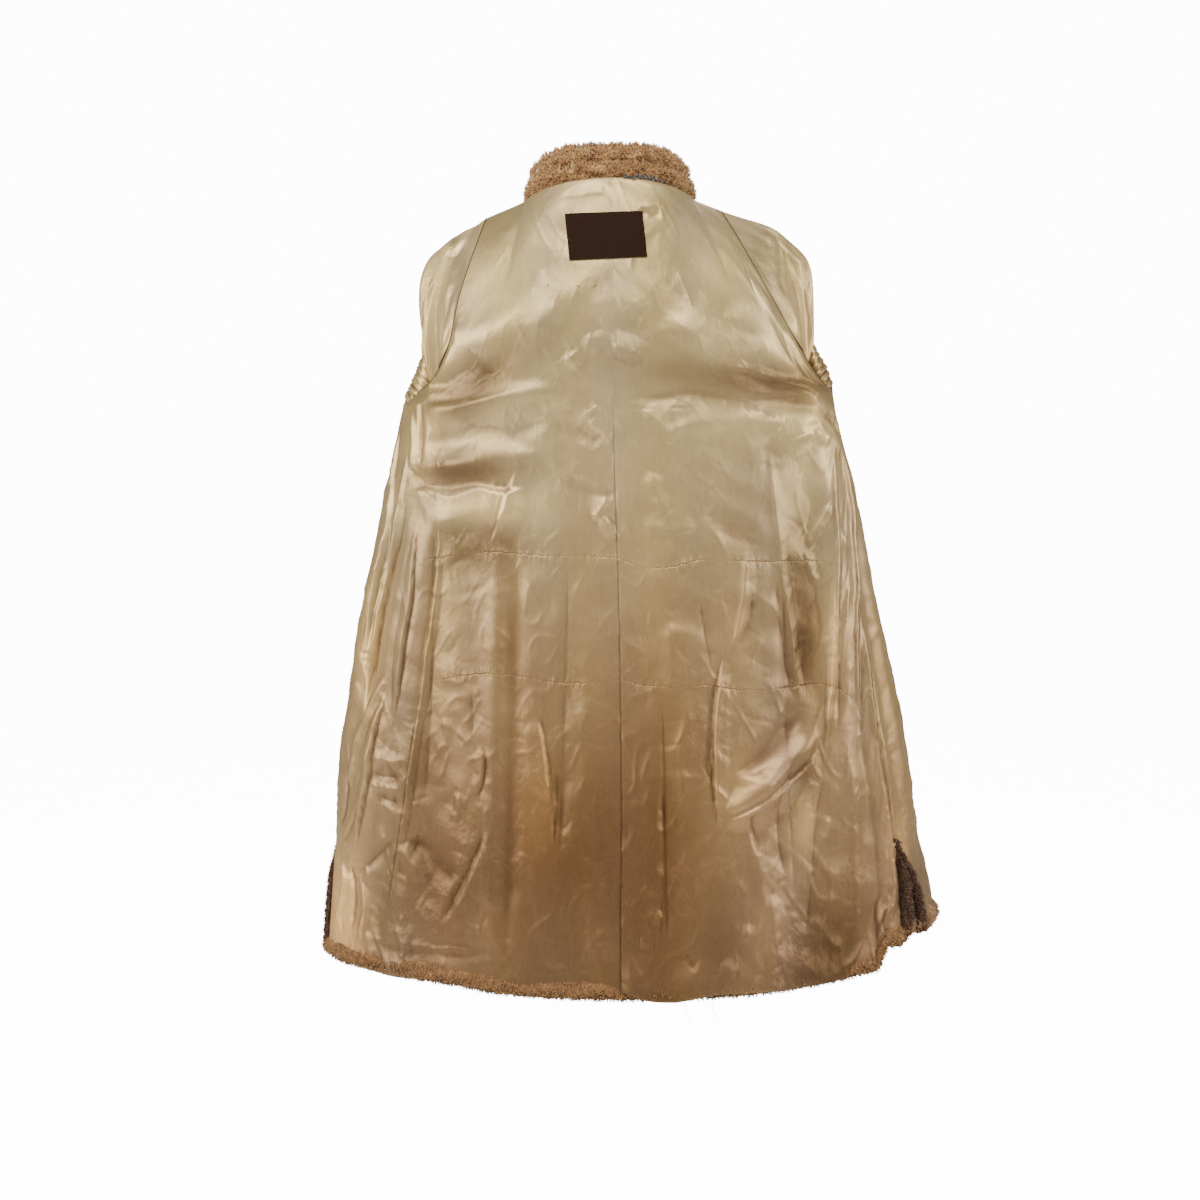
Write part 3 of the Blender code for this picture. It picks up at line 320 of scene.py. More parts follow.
    ("ridge", 19.0, 4.6, ((27.4, -73.6), (25.6, -76.4), (23.6, -79.0), (21.0, -81.2),
     (17.8, -83.2),
     (14.4, -84.4))),
    ("lap_left", 9.0, 3.6, ((27.6, -75.6), (26.0, -78.6), (23.0, -81.6), (19.0, -84.6),
     (14.8, -86.4))),
    ("trough", 16.0, 4.0, ((25.0, -71.0), (22.6, -74.6), (19.6, -77.6), (16.0, -80.0))),
    ("trough", 9.0, 3.0, ((28.5, -78.9), (27.8, -83.0), (27.4, -86.3), (26.8, -96.0),
     (25.8, -103.0))),
    ("ridge", 13.0, 4.5, ((31.2, -74.9), (31.9, -80.7), (32.6, -92.6), (33.1, -103.0))),
    ("ridge", 9.0, 3.0, ((17.5, -85.5), (18.7, -89.3), (19.5, -92.6), (20.7, -99.6),
     (21.3, -108.3))),
    ("trough", 5.0, 2.5, ((18.4, -84.2), (18.8, -87.1), (19.8, -90.7))),
    ("ridge", 6.0, 2.2, ((21.3, -96.0), (21.7, -99.5), (22.2, -103.3))),
    ("trough", 5.0, 2.2, ((22.9, -80.3), (22.3, -87.1), (23.3, -94.0))),
    ("lap_left", 6.0, 3.6, ((14.8, -63.0), (14.3, -66.7), (13.8, -71.7), (13.7, -76.9),
     (14.0, -83.4),
     (14.2, -87.0))),
    ("ridge", 5.0, 2.6, ((17.6, -48.9), (17.4, -55.3), (16.6, -59.8), (15.6, -63.5))),
    ("trough", 5.0, 2.4, ((18.7, -54.7), (18.0, -59.0), (16.6, -62.7))),
    ("trough", 14.0, 1.4, ((11.5, -44.4), (14.4, -45.1), (17.1, -46.1), (19.5, -47.6))),
    ("trough", 8.0, 1.4, ((13.6, -46.7), (16.8, -48.0), (20.0, -48.7))),
    ("ridge", 4.0, 1.5, ((3.4, -102.2), (4.5, -102.8), (5.7, -103.0))),
    ("ridge", 4.0, 1.5, ((5.1, -99.9), (6.0, -99.3), (6.8, -98.6))),
    ("trough", 4.0, 1.5, ((9.6, -104.1), (10.4, -105.5), (11.4, -106.6))),
    ("ridge", 5.0, 1.6, ((14.5, -105.4), (15.7, -106.4), (16.9, -107.1))),
    ("ridge", 5.0, 1.6, ((17.4, -99.5), (18.8, -103.6), (20.2, -107.1))),
    ("ridge", 4.0, 1.2, ((26.5, -98.6), (28.5, -101.4), (30.7, -104.1))),
    ("ridge", 4.0, 1.8, ((28.1, -88.2), (28.9, -86.6), (28.3, -85.1))),
    ("trough", 5.0, 1.6, ((11.6, -56.0), (12.4, -61.4), (13.2, -65.1))),
    ("ridge", 7.0, 1.8, ((10.0, -69.4), (9.0, -77.6), (10.3, -85.7))),
    ("trough", 7.0, 1.8, ((6.6, -80.3), (6.9, -91.2), (6.4, -103.6))),
    ("ridge", 12.0, 2.0, ((7.3, -58.7), (7.9, -64.1), (7.3, -69.4))),
    ("trough", 4.0, 1.6, ((3.0, -5.2), (4.5, -5.3), (6.4, -5.8))),
    ("trough", 5.0, 1.2, ((-7.0, -3.0), (-3.0, -2.5), (-0.2, -2.5))),
    ("ridge", 5.0, 1.2, ((3.0, -4.3), (6.4, -4.5), (9.2, -5.3))),
)

SLEEVE_CREASES = {-1: (
    ("ridge", 5.0, 3.0, ((-22.7, -11.5), (-24.0, -15.1), (-25.0, -20.3), (-25.4, -24.5),
     (-25.7, -27.9))),
    ("trough", 5.0, 3.0, ((-21.9, -11.8), (-23.0, -16.4), (-23.3, -20.3), (-22.8, -23.0),
     (-22.2, -24.5))),
    ("ridge", 4.0, 2.4, ((-21.1, -12.5), (-21.9, -16.4), (-22.0, -20.3), (-21.6, -23.2))),
    ("trough", 4.0, 2.4, ((-23.7, -12.8), (-24.8, -17.7), (-25.4, -21.7))),
    ("ridge", 6.0, 2.5, ((-23.1, -9.9), (-21.9, -9.7), (-20.3, -10.5))),
    ("trough", 5.0, 2.5, ((-22.1, -11.0), (-21.1, -10.9), (-19.8, -11.5))),
    ("trough", 4.0, 2.0, ((-19.8, -11.5), (-20.6, -16.4), (-21.2, -20.3))),
), 1: (
    ("ridge", 5.0, 2.6, ((20.7, -7.6), (21.2, -11.5), (21.3, -15.1))),
    ("trough", 4.0, 2.4, ((21.4, -8.1), (21.8, -12.3), (22.4, -16.4))),
    ("ridge", 4.0, 2.4, ((22.0, -8.7), (22.3, -12.5), (22.9, -16.4), (23.7, -20.3))),
    ("ridge", 7.0, 4.0, ((22.6, -10.5), (23.4, -11.0), (24.4, -11.5))),
    ("trough", 6.0, 3.0, ((23.1, -11.8), (23.9, -15.1), (24.8, -20.3))),
    ("ridge", 5.0, 3.0, ((24.4, -12.3), (25.3, -16.4), (25.8, -20.3), (26.1, -23.2))),
    ("trough", 4.0, 3.0, ((24.0, -20.3), (25.1, -23.2), (26.1, -25.8))),
)}

# The fronts are out of sight, and are looked at from in front
FRONT_CREASES = {
    -1: (
        ("ridge", 11, 3.5, ((-9, -22), (-10, -45), (-11, -70), (-12, -98))),
        ("trough", 9, 3.0, ((-15, -30), (-16, -55), (-17, -80), (-18, -100))),
        ("lap_left", 10, 4.0, ((-22, -33), (-23, -60), (-25, -85), (-27, -101))),
        ("trough", 7, 3.0, ((-29, -40), (-31, -62), (-33, -90))),
        ("ridge", 8, 3.0, ((-6, -60), (-7, -80), (-8, -100))),
        ("lap_right", 9, 3.5, ((-34, -50), (-36, -75), (-37, -98))),
        ("ridge", 6, 2.0, ((-12, -14), (-17, -20), (-22, -27))),
        ("trough", 6, 2.0, ((-11, -19), (-16, -25), (-21, -33))),
        ("ridge", 6, 1.8, ((-27, -33), (-22, -38), (-16, -41))),
        ("ridge", 5, 1.5, ((-30, -58), (-24, -61), (-19, -62))),
        ("trough", 5, 1.5, ((-31, -76), (-26, -79), (-20, -79))),
    ),
    1: (
        ("ridge", 10, 3.5, ((8, -24), (9, -48), (10, -74), (11, -99))),
        ("trough", 9, 3.0, ((14, -28), (15, -52), (16, -78), (16, -99))),
        ("lap_right", 10, 4.0, ((21, -31), (23, -58), (24, -84), (26, -100))),
        ("trough", 7, 3.0, ((29, -38), (31, -60), (33, -88))),
        ("ridge", 8, 3.0, ((6, -64), (6, -82), (7, -100))),
        ("lap_left", 9, 3.5, ((35, -48), (37, -73), (38, -97))),
        ("ridge", 6, 2.0, ((11, -13), (16, -19), (22, -26))),
        ("trough", 6, 2.0, ((10, -18), (15, -24), (20, -31))),
        ("ridge", 6, 1.8, ((28, -32), (22, -36), (17, -40))),
        ("ridge", 5, 1.5, ((31, -56), (25, -60), (20, -61))),
    ),
}

# Two rows of tacking across the back, as seen: the satin puckers along them
TACKING = (
    ((-25.6, -50.6), (-15.5, -49.6), (-4.2, -50.1), (-2.2, -50.2), (10.5, -50.9), (20.0, -50.9),
     (28.0, -50.8), (31.6, -50.0)),
    ((-24.5, -66.9), (-14.2, -66.0), (-4.2, -67.2), (5.6, -67.5), (17.0, -68.1), (28.0, -67.3),
     (32.9, -66.7)),
)
TACKING_REACH = 20.0 * MM

# ---------------------------------------------------------------- tones and edges

# How each colour channel follows a change of tone: painted shade turns brown, and painted
# highlight golden
DARKER_POWERS = (0.91, 1.03, 1.06)
PALER_POWERS = (1.06, 1.03, 0.74)
WHOLE_TINT = (0.945, 0.985, 1.10)

# Painted light and shade on the satin: paler patches where it catches the light, darker ones
# where it lies in folds. Centimetres across and up, half sizes, lean in degrees and the change of
# tone
PAINTED_LIGHT_PATCHES = (
    (19.0, -27.2, 16.0, 2.5, -8.0, -0.60),
    (-18.8, -27.6, 8.5, 3.6, 33.0, -0.70),
    (-20.5, -39.2, 8.0, 2.2, 4.0, -0.68),
    (-16.6, -44.4, 6.5, 2.6, 0.0, 0.80),
    (-1.0, -4.0, 8.0, 3.5, 0.0, -0.38),
    (16.7, -10.7, 6.0, 5.5, -50.0, 0.16),
    (-18.0, -48.4, 8.0, 3.6, 0.0, -0.52),
    (-14.0, -62.0, 1.6, 6.0, 0.0, -0.24),
    (25.6, -57.4, 2.6, 15.0, 3.0, -0.46),
    (30.2, -62.6, 1.9, 7.6, 0.0, 0.85),
    (24.6, -26.3, 5.0, 3.0, 0.0, -0.46),
    (21.0, -33.0, 6.0, 3.0, 0.0, 0.24),
    (0.0, -38.0, 10.0, 16.0, 0.0, 0.09),
    (14.5, -64.4, 4.0, 13.0, 0.0, 0.22),
    (-31.6, -61.8, 4.0, 6.0, 0.0, 0.28),
    (-25.8, -79.0, 3.5, 7.0, 0.0, -0.34),
    (-23.5, -95.0, 7.0, 8.0, 0.0, -0.33),
    (-9.8, -84.0, 3.0, 9.0, 0.0, 0.48),
    (-16.7, -99.4, 4.0, 4.0, 0.0, 0.24),
    (16.4, -81.0, 3.0, 5.0, 0.0, 0.30),
    (30.6, -104.0, 6.0, 11.0, 0.0, -0.68),
    (25.6, -79.4, 2.6, 2.4, 0.0, -0.50),
    (25.4, -62.0, 2.0, 7.0, 0.0, -0.22),
    (25.6, -105.6, 3.0, 6.0, 0.0, -0.34),
    (-37.2, -101.5, 3.0, 9.0, 0.0, 1.60),
    (43.0, -97.0, 3.0, 6.0, 0.0, -0.30),
    (39.0, -106.0, 1.8, 3.6, 0.0, 1.00),
    (39.0, -89.6, 1.6, 3.6, 0.0, 0.60),
    (34.4, -101.8, 1.6, 2.4, 0.0, 0.40),
    (25.6, -86.6, 2.2, 4.0, 0.0, 0.86),
    (21.0, -99.4, 2.6, 4.0, 0.0, 0.28),
    (32.0, -86.0, 4.0, 6.0, 0.0, -0.22),
    (6.0, -110.0, 16.0, 3.0, 0.0, -0.22),
    (14.5, -101.5, 4.0, 7.0, 0.0, -0.26),
    (-18.8, -12.8, 3.0, 4.0, 0.0, 0.36),
    (-1.2, -17.4, 3.0, 3.0, 0.0, 0.28),
    (12.2, -12.9, 3.0, 3.2, 0.0, 0.26),
)

# The satin's colour from the nape down to the hem, at the centre back and at the sides: its own
# beige and bronze, with painted shade that darkens it towards the hem and in the middle
LINING_MIDDLE = (
    (0.00, (198, 178, 136)),
    (0.20, (186, 165, 126)),
    (0.40, (190, 166, 126)),
    (0.60, (160, 131, 94)),
    (0.80, (124, 94, 64)),
    (1.00, (126, 98, 70)),
)
LINING_SIDE = (
    (0.00, (198, 179, 138)),
    (0.20, (203, 181, 136)),
    (0.40, (178, 156, 120)),
    (0.60, (162, 137, 104)),
    (0.80, (156, 130, 100)),
    (1.00, (138, 112, 86)),
)

# How much lower than its solid the lining's edge hangs: degrees from the centre back and mm
HEM_DROPS = (
    (-90.0, 2.0), (-75.0, 0.0), (-60.0, 6.0), (-42.0, 8.0), (-28.0, 3.0), (-14.0, 6.0),
    (-6.0, 3.0), (0.0, 5.0), (2.5, 9.0), (6.0, 19.0), (11.0, 22.0), (15.0, 18.0), (19.0, 13.0),
    (26.0, 14.0), (34.0, 15.0), (44.0, 11.0), (50.0, 7.0), (51.4, 5.0), (52.8, -33.0),
    (54.5, -35.0), (57.0, -27.0), (60.0, -22.0), (70.0, -6.0), (90.0, -2.0),
    (110.0, 1.0), (180.0, 1.0),
)

# How much higher than its solid the fur's hem hangs, in the same way
FUR_LIFTS = (
    (-90.0, 4.0), (-70.0, 9.0), (-48.0, 12.0), (-30.0, 10.0), (-20.0, 3.0), (-10.0, 0.0),
    (20.0, 0.0), (38.0, 3.0), (48.0, 6.0), (51.4, 7.0), (52.8, 34.0), (56.0, 33.0), (60.0, 26.0),
    (68.0, 14.0), (78.0, 8.0), (95.0, 4.0), (110.0, 0.0), (180.0, 0.0),
)

# ---------------------------------------------------------------- curves and noise

def mix(a, b, share):
    return a + (b - a) * share


def smoothstep(value):
    share = np.clip(value, 0.0, 1.0)
    return share * share * (3.0 - 2.0 * share)


def both_ends(share, fade):
    """A weight that rises from 0 at the start and falls back to 0 at the end."""
    return smoothstep(share / fade) * smoothstep((1.0 - share) / fade)


def unit(vectors):
    return vectors / np.maximum(np.linalg.norm(vectors, axis=-1, keepdims=True), 1e-12)


def curve_through(rows, place):
    """A smooth curve through table rows whose first column rises; place may be an array."""
    table = np.array(rows)
    keys = table[:, 0]
    place = np.clip(place, keys[0], keys[-1])
    index = np.clip(np.searchsorted(keys, place, side="right") - 1, 0, len(keys) - 2)
    share = ((place - keys[index]) / (keys[index + 1] - keys[index]))[..., None]
    start = table[index, 1:]
    end = table[index + 1, 1:]
    before = table[np.maximum(index - 1, 0), 1:]
    after = table[np.minimum(index + 2, len(keys) - 1), 1:]
    return (start * (1 - 3 * share ** 2 + 2 * share ** 3)
            + end * (3 * share ** 2 - 2 * share ** 3)
            + 0.5 * (end - before) * (share - 2 * share ** 2 + share ** 3)
            + 0.5 * (after - start) * (share ** 3 - share ** 2))


def waves(across, along, size_across, size_along, seed, count=9):
    """Soft noise between about -1 and 1, made of crossed sine waves."""
    draw = np.random.RandomState(seed)
    total = np.zeros(np.broadcast(across, along).shape)
    for _ in range(count):
        rate_across = 2 * math.pi / size_across * draw.uniform(0.45, 1.5)
        rate_along = 2 * math.pi / size_along * draw.uniform(0.45, 1.5)
        lean = draw.choice((-1.0, 1.0))
        phase = draw.uniform(0.0, 2 * math.pi)
        total += np.sin(across * rate_across + lean * along * rate_along + phase)
    return total / math.sqrt(count)


# ---------------------------------------------------------------- the body's seam surface

def section(z):
    values = curve_through(SECTIONS, z)
    return {name: values[..., place] for place, name in enumerate(SECTION_COLUMNS[1:])}


def armhole(side, share):
    """The armhole seam: 0 at the underarm, 1 at the shoulder; y is towards the back."""
    table = ARMHOLES[side]
    rows = [(index / (len(table) - 1), *row) for index, row in enumerate(table)]
    return curve_through(rows, share)


def hem_z(side, angle):
    middle = np.where(angle < 90.0, HEM_Z_BACK, HEM_Z_FRONT)
    share = np.abs(np.cos(np.radians(angle)))
    if side < 0:
        return mix(HEM_Z_LEFT, middle, share)
    first, last = RIGHT_HEM_LIFT_ANGLES
    lift = RIGHT_HEM_LIFT * smoothstep((angle - first) / (last - first))
    return mix(HEM_Z_RIGHT, middle, share) + lift * smoothstep((180.0 - angle) / 90.0)


def underarm_z(side, angle):
    return mix(ARMHOLES[side][0][2], CENTRE_UNDERARM_Z, np.cos(np.radians(angle)) ** 2)


def lower_point(side, angle, level):
    turn = np.radians(angle)
    z = mix(hem_z(side, angle), underarm_z(side, angle), level)
    ring = section(z)
    width = ring["left"] if side < 0 else ring["right"]
    reach = side * (width - LINING_OUT)
    x = ring["centre"] + (reach - ring["centre"]) * np.abs(np.sin(turn))
    depth = np.where(angle < 90.0, -(ring["back"] - LINING_OUT), ring["front"] - LINING_OUT)
    y = depth * np.maximum(np.abs(np.cos(turn)), 1e-9) ** ring["fullness"]
    return np.stack(np.broadcast_arrays(x, y, z), axis=-1)


def top_edge(side, across, front):
    apex = armhole(side, np.array(1.0))
    neck_x, neck_z = NECK[side]
    depth, middle_z = NECK_FRONT if front else NECK_BACK
    x = apex[0] * across
    share = np.clip((x - neck_x) / (apex[0] - neck_x), 0.0, 1.0)
    shoulder = np.stack((x, np.zeros_like(x), mix(neck_z, apex[2], share)), axis=-1)
    round_share = np.sqrt(np.maximum(1.0 - (x / neck_x) ** 2, 0.0))
    y = depth * round_share if front else -depth * round_share
    neck = np.stack((x, y, mix(neck_z, middle_z, round_share ** NECK_POWER)), axis=-1)
    return np.where((np.abs(x) >= abs(neck_x))[..., None], shoulder, neck)


def yoke_point(side, angle, share, front):
    turn = np.radians(180.0 - angle if front else angle)
    edge = armhole(side, share)
    edge_y = edge[..., 1] if front else -edge[..., 1]
    middle = curve_through(FRONT_YOKE if front else BACK_YOKE, share)
    middle_y = (middle[..., 0] - LINING_OUT) * (1 if front else -1)
    fullness = section(underarm_z(side, angle))["fullness"]
    flattening = smoothstep(share / YOKE_FLATTENING)
    across = mix(np.sin(turn), turn / (0.5 * math.pi), flattening)
    depth_share = mix(np.maximum(np.cos(turn), 0.0) ** fullness,
                      1.0 - np.maximum(across, 0.0) ** YOKE_POWER, flattening)
    x = edge[..., 0] * across
    y = mix(edge_y, middle_y, depth_share)
    z = mix(edge[..., 2], middle[..., 1], 1.0 - across ** 2)
    high = np.maximum((share - TOP_BLEND_START) / (1.0 - TOP_BLEND_START), 0.0)
    blend = (high ** TOP_BLEND_POWER)[..., None]
    return mix(np.stack((x, y, z), axis=-1), top_edge(side, across, front), blend)


def plain_point(side, angle, level, front):
    angle, level = np.broadcast_arrays(angle, level)
    low = lower_point(side, angle, np.minimum(level, 1.0))
    high = yoke_point(side, angle, np.maximum(level - 1.0, 0.0), front)
    return np.where((level > 1.0)[..., None], high, low)


def surface_normal(side, angle, level, front):
    """The outward normal; above the underarm the differences stay inside one panel."""
    angle, level = np.broadcast_arrays(angle, level)
    yoke = level > 1.0
    lowest = np.where(yoke, FRONT_FIRST_ANGLE if front else 0.0, 0.0)
    highest = np.where(yoke, 179.9 if front else 90.0, 179.99)
    more, less = (plain_point(side, np.clip(angle + step, lowest, highest), level, front)
                  for step in (NORMAL_ANGLE_STEP, -NORMAL_ANGLE_STEP))
    above = plain_point(side, angle, np.minimum(level + NORMAL_LEVEL_STEP, 2.0), front)
    below = plain_point(side, angle, np.maximum(level - NORMAL_LEVEL_STEP, 0.0), front)
    return unit(np.cross(more - less, above - below) * side)


def fold_height(side, angle, z):
    total = np.zeros(np.broadcast(angle, z).shape)
    for row in FOLDS:
        fold = dict(zip(FOLD_COLUMNS, row))
        along = (fold["z_top"] - z) / (fold["z_top"] - fold["z_low"])
        middle = mix(fold["angle_top"], fold["angle_low"], along)
        across = np.clip(np.abs(side * angle - middle) / fold["half_width"], 0.0, 1.0)
        total += fold["height"] * both_ends(along, FOLD_FADE) * np.cos(across * math.pi / 2) ** 2
    return total


def seam_angle(side, level):
    drop = smoothstep((1.0 - np.minimum(level, 1.0)) / SEAM_SWING)
    return mix(UNDERARM_SEAM_ANGLE, SIDE_SEAM_ANGLE[side], drop)


def slit_share(level):
    return np.maximum(1.0 - level / SLIT_LEVEL, 0.0)


def band_angle(level):
    """The strip of bare fur beside a slit."""
    inside = mix(SEAM_BAND_ANGLE, SLIT_BAND_ANGLE, slit_share(level))
    return np.where(level < SLIT_LEVEL, inside, 0.0)


def last_angle(side, level):
    """The centre front edge."""
    ring = section(lower_point(side, np.full_like(level, 179.0), np.minimum(level, 1.0))[..., 2])
    lower = ring["left"] if side < 0 else ring["right"]
    upper = np.abs(armhole(side, np.maximum(level - 1.0, 0.0))[..., 0])
    width = np.where(level > 1.0, upper, lower)
    return 180.0 - np.degrees(np.arcsin(FRONT_HALF_GAP / width))


# ---------------------------------------------------------------- panels as fine grids

BODY_LENGTH = 0.78          # cloth from the hem up to the underarm, about
YOKE_LENGTH = 0.33          # and from there to the shoulder
ANGLE_SAMPLES = 140         # for dividing a row into even lengths
SOFT_LEVEL = 1.35           # from here up a panel's rows are evened out
SOFT_ROUNDS = 12


def level_rows(start, step):
    """Levels from start to the shoulder, the step given in metres of cloth."""
    low = np.linspace(start, 1.0, int(BODY_LENGTH * (1.0 - start) / step) + 1)
    high = np.linspace(1.0, 2.0, int(YOKE_LENGTH / step) + 1)
    return np.concatenate((low, high[1:]))


def even_angles(side, front, levels, start, end, columns):
    """For each level, angles that divide the way from start to end into even lengths."""
    shares = np.linspace(0.0, 1.0, ANGLE_SAMPLES)
    angles = start[:, None] + (end - start)[:, None] * shares
    points = plain_point(side, angles, levels[:, None], front)
    steps = np.linalg.norm(np.diff(points, axis=1), axis=2)
    lengths = np.concatenate((np.zeros((len(levels), 1)), np.cumsum(steps, axis=1)), axis=1)
    wanted = np.linspace(0.0, 1.0, columns)
    rows = [np.interp(wanted * length[-1], length, row) for length, row in zip(lengths, angles)]
    return np.array(rows)


def panel(side, front, levels, columns, covered):
    """Seam surface points and normals, side seam first; covered keeps off the slit's fur."""
    inset = SEAM_INSET + SLIT_OPEN_ANGLE * slit_share(levels)
    band = band_angle(levels) if covered else np.zeros_like(levels)
    seam = seam_angle(side, levels)
    if front:
        start = np.where(levels < 1.0, seam + inset + band, FRONT_FIRST_ANGLE)
        end = last_angle(side, levels)
    else:
        start = np.where(levels < 1.0, seam - inset - band, UNDERARM_SEAM_ANGLE)
        end = np.zeros_like(levels)
    angles = even_angles(side, front, levels, start, end, columns)
    places = plain_point(side, angles, levels[:, None], front)
    normals = surface_normal(side, angles, levels[:, None] + 0.0 * angles, front)
    neck_x = NECK[side][0]
    seam_way = np.array(SHOULDER_NORMAL) * (side, 1, 1)
    flat_way = unit(normals * (1.0, 1.0, 0.35))
    on_shoulder = smoothstep((np.abs(places[..., :1]) - abs(neck_x)) / 0.03 + 0.5)
    top_way = unit(mix(flat_way, seam_way, on_shoulder))
    near_top = np.clip((levels - 2.0) * YOKE_ROWS + 1.0, 0.0, 1.0)[:, None, None]
    folds = fold_height(side, angles, places[..., 2])[..., None]
    points = places + normals * folds
    normals = unit(mix(normals, top_way, near_top))
    high = smoothstep((levels - SOFT_LEVEL) / 0.3)[:, None, None]
    below_edge = smoothstep((2.0 - levels) / 0.04)[:, None, None]
    return softened(points, high * below_edge), unit(softened(normals, high))


def softened(values, weight):
    """Values evened out between neighbours along each row."""
    for _ in range(SOFT_ROUNDS):
        evened = values.copy()
        evened[:, 1:-1] = 0.25 * values[:, :-2] + 0.5 * values[:, 1:-1] + 0.25 * values[:, 2:]
        values = mix(values, evened, weight)
    return values


def joined(left, right):
    """One grid across both back halves, from the left side seam to the right one."""
    whole = []
    for part in range(2):
        middle = 0.5 * (left[part][:, -1:] + right[part][:, -1:])
        if part:
            middle = unit(middle)
        whole.append(np.concatenate((left[part][:, :-1], middle, right[part][:, -2::-1]),
                                    axis=1))
    return whole


def grid_lengths(points, column, row):
    """Distances on the cloth across and along a grid, from one column and one row."""
    across = np.linalg.norm(np.diff(points, axis=1), axis=2)
    across = np.concatenate((np.zeros((len(points), 1)), np.cumsum(across, axis=1)), axis=1)
    along = np.linalg.norm(np.diff(points, axis=0), axis=2)
    along = np.concatenate((np.zeros((1, points.shape[1])), np.cumsum(along, axis=0)), axis=0)
    return across - across[:, column:column + 1], along - along[row:row + 1]


def grid_normals(points, outward):
    """Normals of a displaced grid, on the same side as outward."""
    normals = unit(np.cross(np.gradient(points, axis=1), np.gradient(points, axis=0)))
    flip = np.sign(np.sum(normals * outward, axis=2, keepdims=True))
    return normals * np.where(flip == 0, 1.0, flip)


# ---------------------------------------------------------------- creases on a grid

CREASE_REACH = 4.0          # half widths from a crease's middle to where it ends
BROAD = 13.5 * MM           # ridges and troughs wider than this are softly rounded
CREASE_HEIGHT = 1.55        # a table's heights are raised by this


class Cloth:
    """A grid of cloth that creases are pressed into.

    Each point also knows where it shows on an upright plane, looked at from place.
    """

    def __init__(self, points, normals, column, place=VIEW_PLACE, plane_y=VIEW_PLANE_Y):
        self.points = points
        self.across, self.along = grid_lengths(points, column, 0)
        share = (plane_y - place[1]) / (points[..., 1] - place[1])
        self.seen_x = place[0] + (points[..., 0] - place[0]) * share
        self.seen_z = place[2] + (points[..., 2] - place[2]) * share
        self.facing = np.sum(unit(place - points) * normals, axis=2) > 0.02
        self.height = np.zeros(points.shape[:2])

    def place_of(self, x, z):
        """Cloth distances of the spot that shows at x, z."""
        gap = (self.seen_x - x) ** 2 + (self.seen_z - z) ** 2
        gap = np.where(self.facing, gap, FAR)
        nearest = np.argpartition(gap.ravel(), 5)[:5]
        weight = 1.0 / (gap.ravel()[nearest] + 1e-7)
        return np.array((np.sum(self.across.ravel()[nearest] * weight),
                         np.sum(self.along.ravel()[nearest] * weight))) / weight.sum()

    def route(self, spots):
        """A smooth line on the cloth through spots given in seen centimetres."""
        knots = np.array([self.place_of(x * CM, z * CM) for x, z in spots])
        rows = [(index, *knot) for index, knot in enumerate(knots)]
        return curve_through(rows, np.linspace(0, len(knots) - 1, 4 * (len(knots) - 1) + 1))

    def press(self, kind, half_width, height, line, seed):
        """Adds a crease along a line of cloth distances; it swells and thins on its way."""
        margin = CREASE_REACH * half_width
        low = line.min(axis=0) - margin
        high = line.max(axis=0) + margin
        near = ((self.across > low[0]) & (self.across < high[0])
                & (self.along > low[1]) & (self.along < high[1]))
        if not near.any():
            return
        spots = np.stack((self.across[near], self.along[near]), axis=-1)
        lengths = np.linalg.norm(np.diff(line, axis=0), axis=1)
        reached = np.concatenate(((0.0,), np.cumsum(lengths)))
        best = np.full(len(spots), 1e9)
        offset = np.zeros(len(spots))
        share = np.zeros(len(spots))
        for start, end, length, before in zip(line, line[1:], lengths, reached):
            if length < 1e-6:
                continue
            way = (end - start) / length
            delta = spots - start
            ahead = np.clip(delta @ way, 0.0, length)
            apart = delta - ahead[:, None] * way
            distance = np.hypot(apart[:, 0], apart[:, 1])
            closer = distance < best
            best[closer] = distance[closer]
            turn = way[0] * delta[:, 1] - way[1] * delta[:, 0]
            offset[closer] = (np.sign(turn) * distance)[closer]
            share[closer] = ((before + ahead) / reached[-1])[closer]
        swing = 1.0 + 0.22 * np.sin(share * 11.0 + seed * 1.7) * np.sin(share * 5.0 + seed)
        rise = both_ends(share, 0.22) * swing
        narrow = 0.4 + 0.6 * both_ends(share, 0.3)
        shape = crease_shape(kind, offset / half_width / narrow, half_width > BROAD)
        self.height[near] += height * rise * shape


def crease_shape(kind, across, broad):
    """Height over a crease's width: across is in half widths, positive to the right.

    Narrow ridges and troughs are sharp with long flanks; a lap is steep on one side only.
    """
    reach = smoothstep((CREASE_REACH - np.abs(across)) / 2.0)
    if kind in ("ridge", "trough"):
        way = 1 if kind == "ridge" else -1
        if broad:
            return way * np.exp(-across ** 2)
        flank = across / np.where(across > 0, 1.7, 0.9)
        return way * reach * np.exp(0.25 - np.sqrt(flank ** 2 + 0.0625))
    steep = across if kind == "lap_right" else -across
    gentle = np.exp(0.2 - np.sqrt((steep / 2.2) ** 2 + 0.04))
    drop = 1.35 * np.exp(-(steep / 0.42) ** 2) - 0.35 * np.exp(-(steep / 1.9) ** 2)
    return reach * np.where(steep < 0.0, gentle, drop)


def press_table(cloth, table):
    for index, (kind, half_width, height, spots) in enumerate(table):
        cloth.press(kind, half_width * MM, CREASE_HEIGHT * height * MM, cloth.route(spots),
                    seed=index)


# ---------------------------------------------------------------- meshes

def srgb(red, green, blue):
    """A colour given in 8-bit values, as linear light."""
    values = np.array((red, green, blue)) / 255.0
    return np.where(values <= 0.04045, values / 12.92, ((values + 0.055) / 1.055) ** 2.4)


def grid_faces(rows, columns, closed=False):
    spans = columns if closed else columns - 1
    row, column = np.meshgrid(np.arange(rows - 1), np.arange(spans), indexing="ij")
    after = (column + 1) % columns
    corners = (row * columns + column, row * columns + after,
               (row + 1) * columns + after, (row + 1) * columns + column)
    return np.stack(corners, axis=-1).reshape(-1, 4)


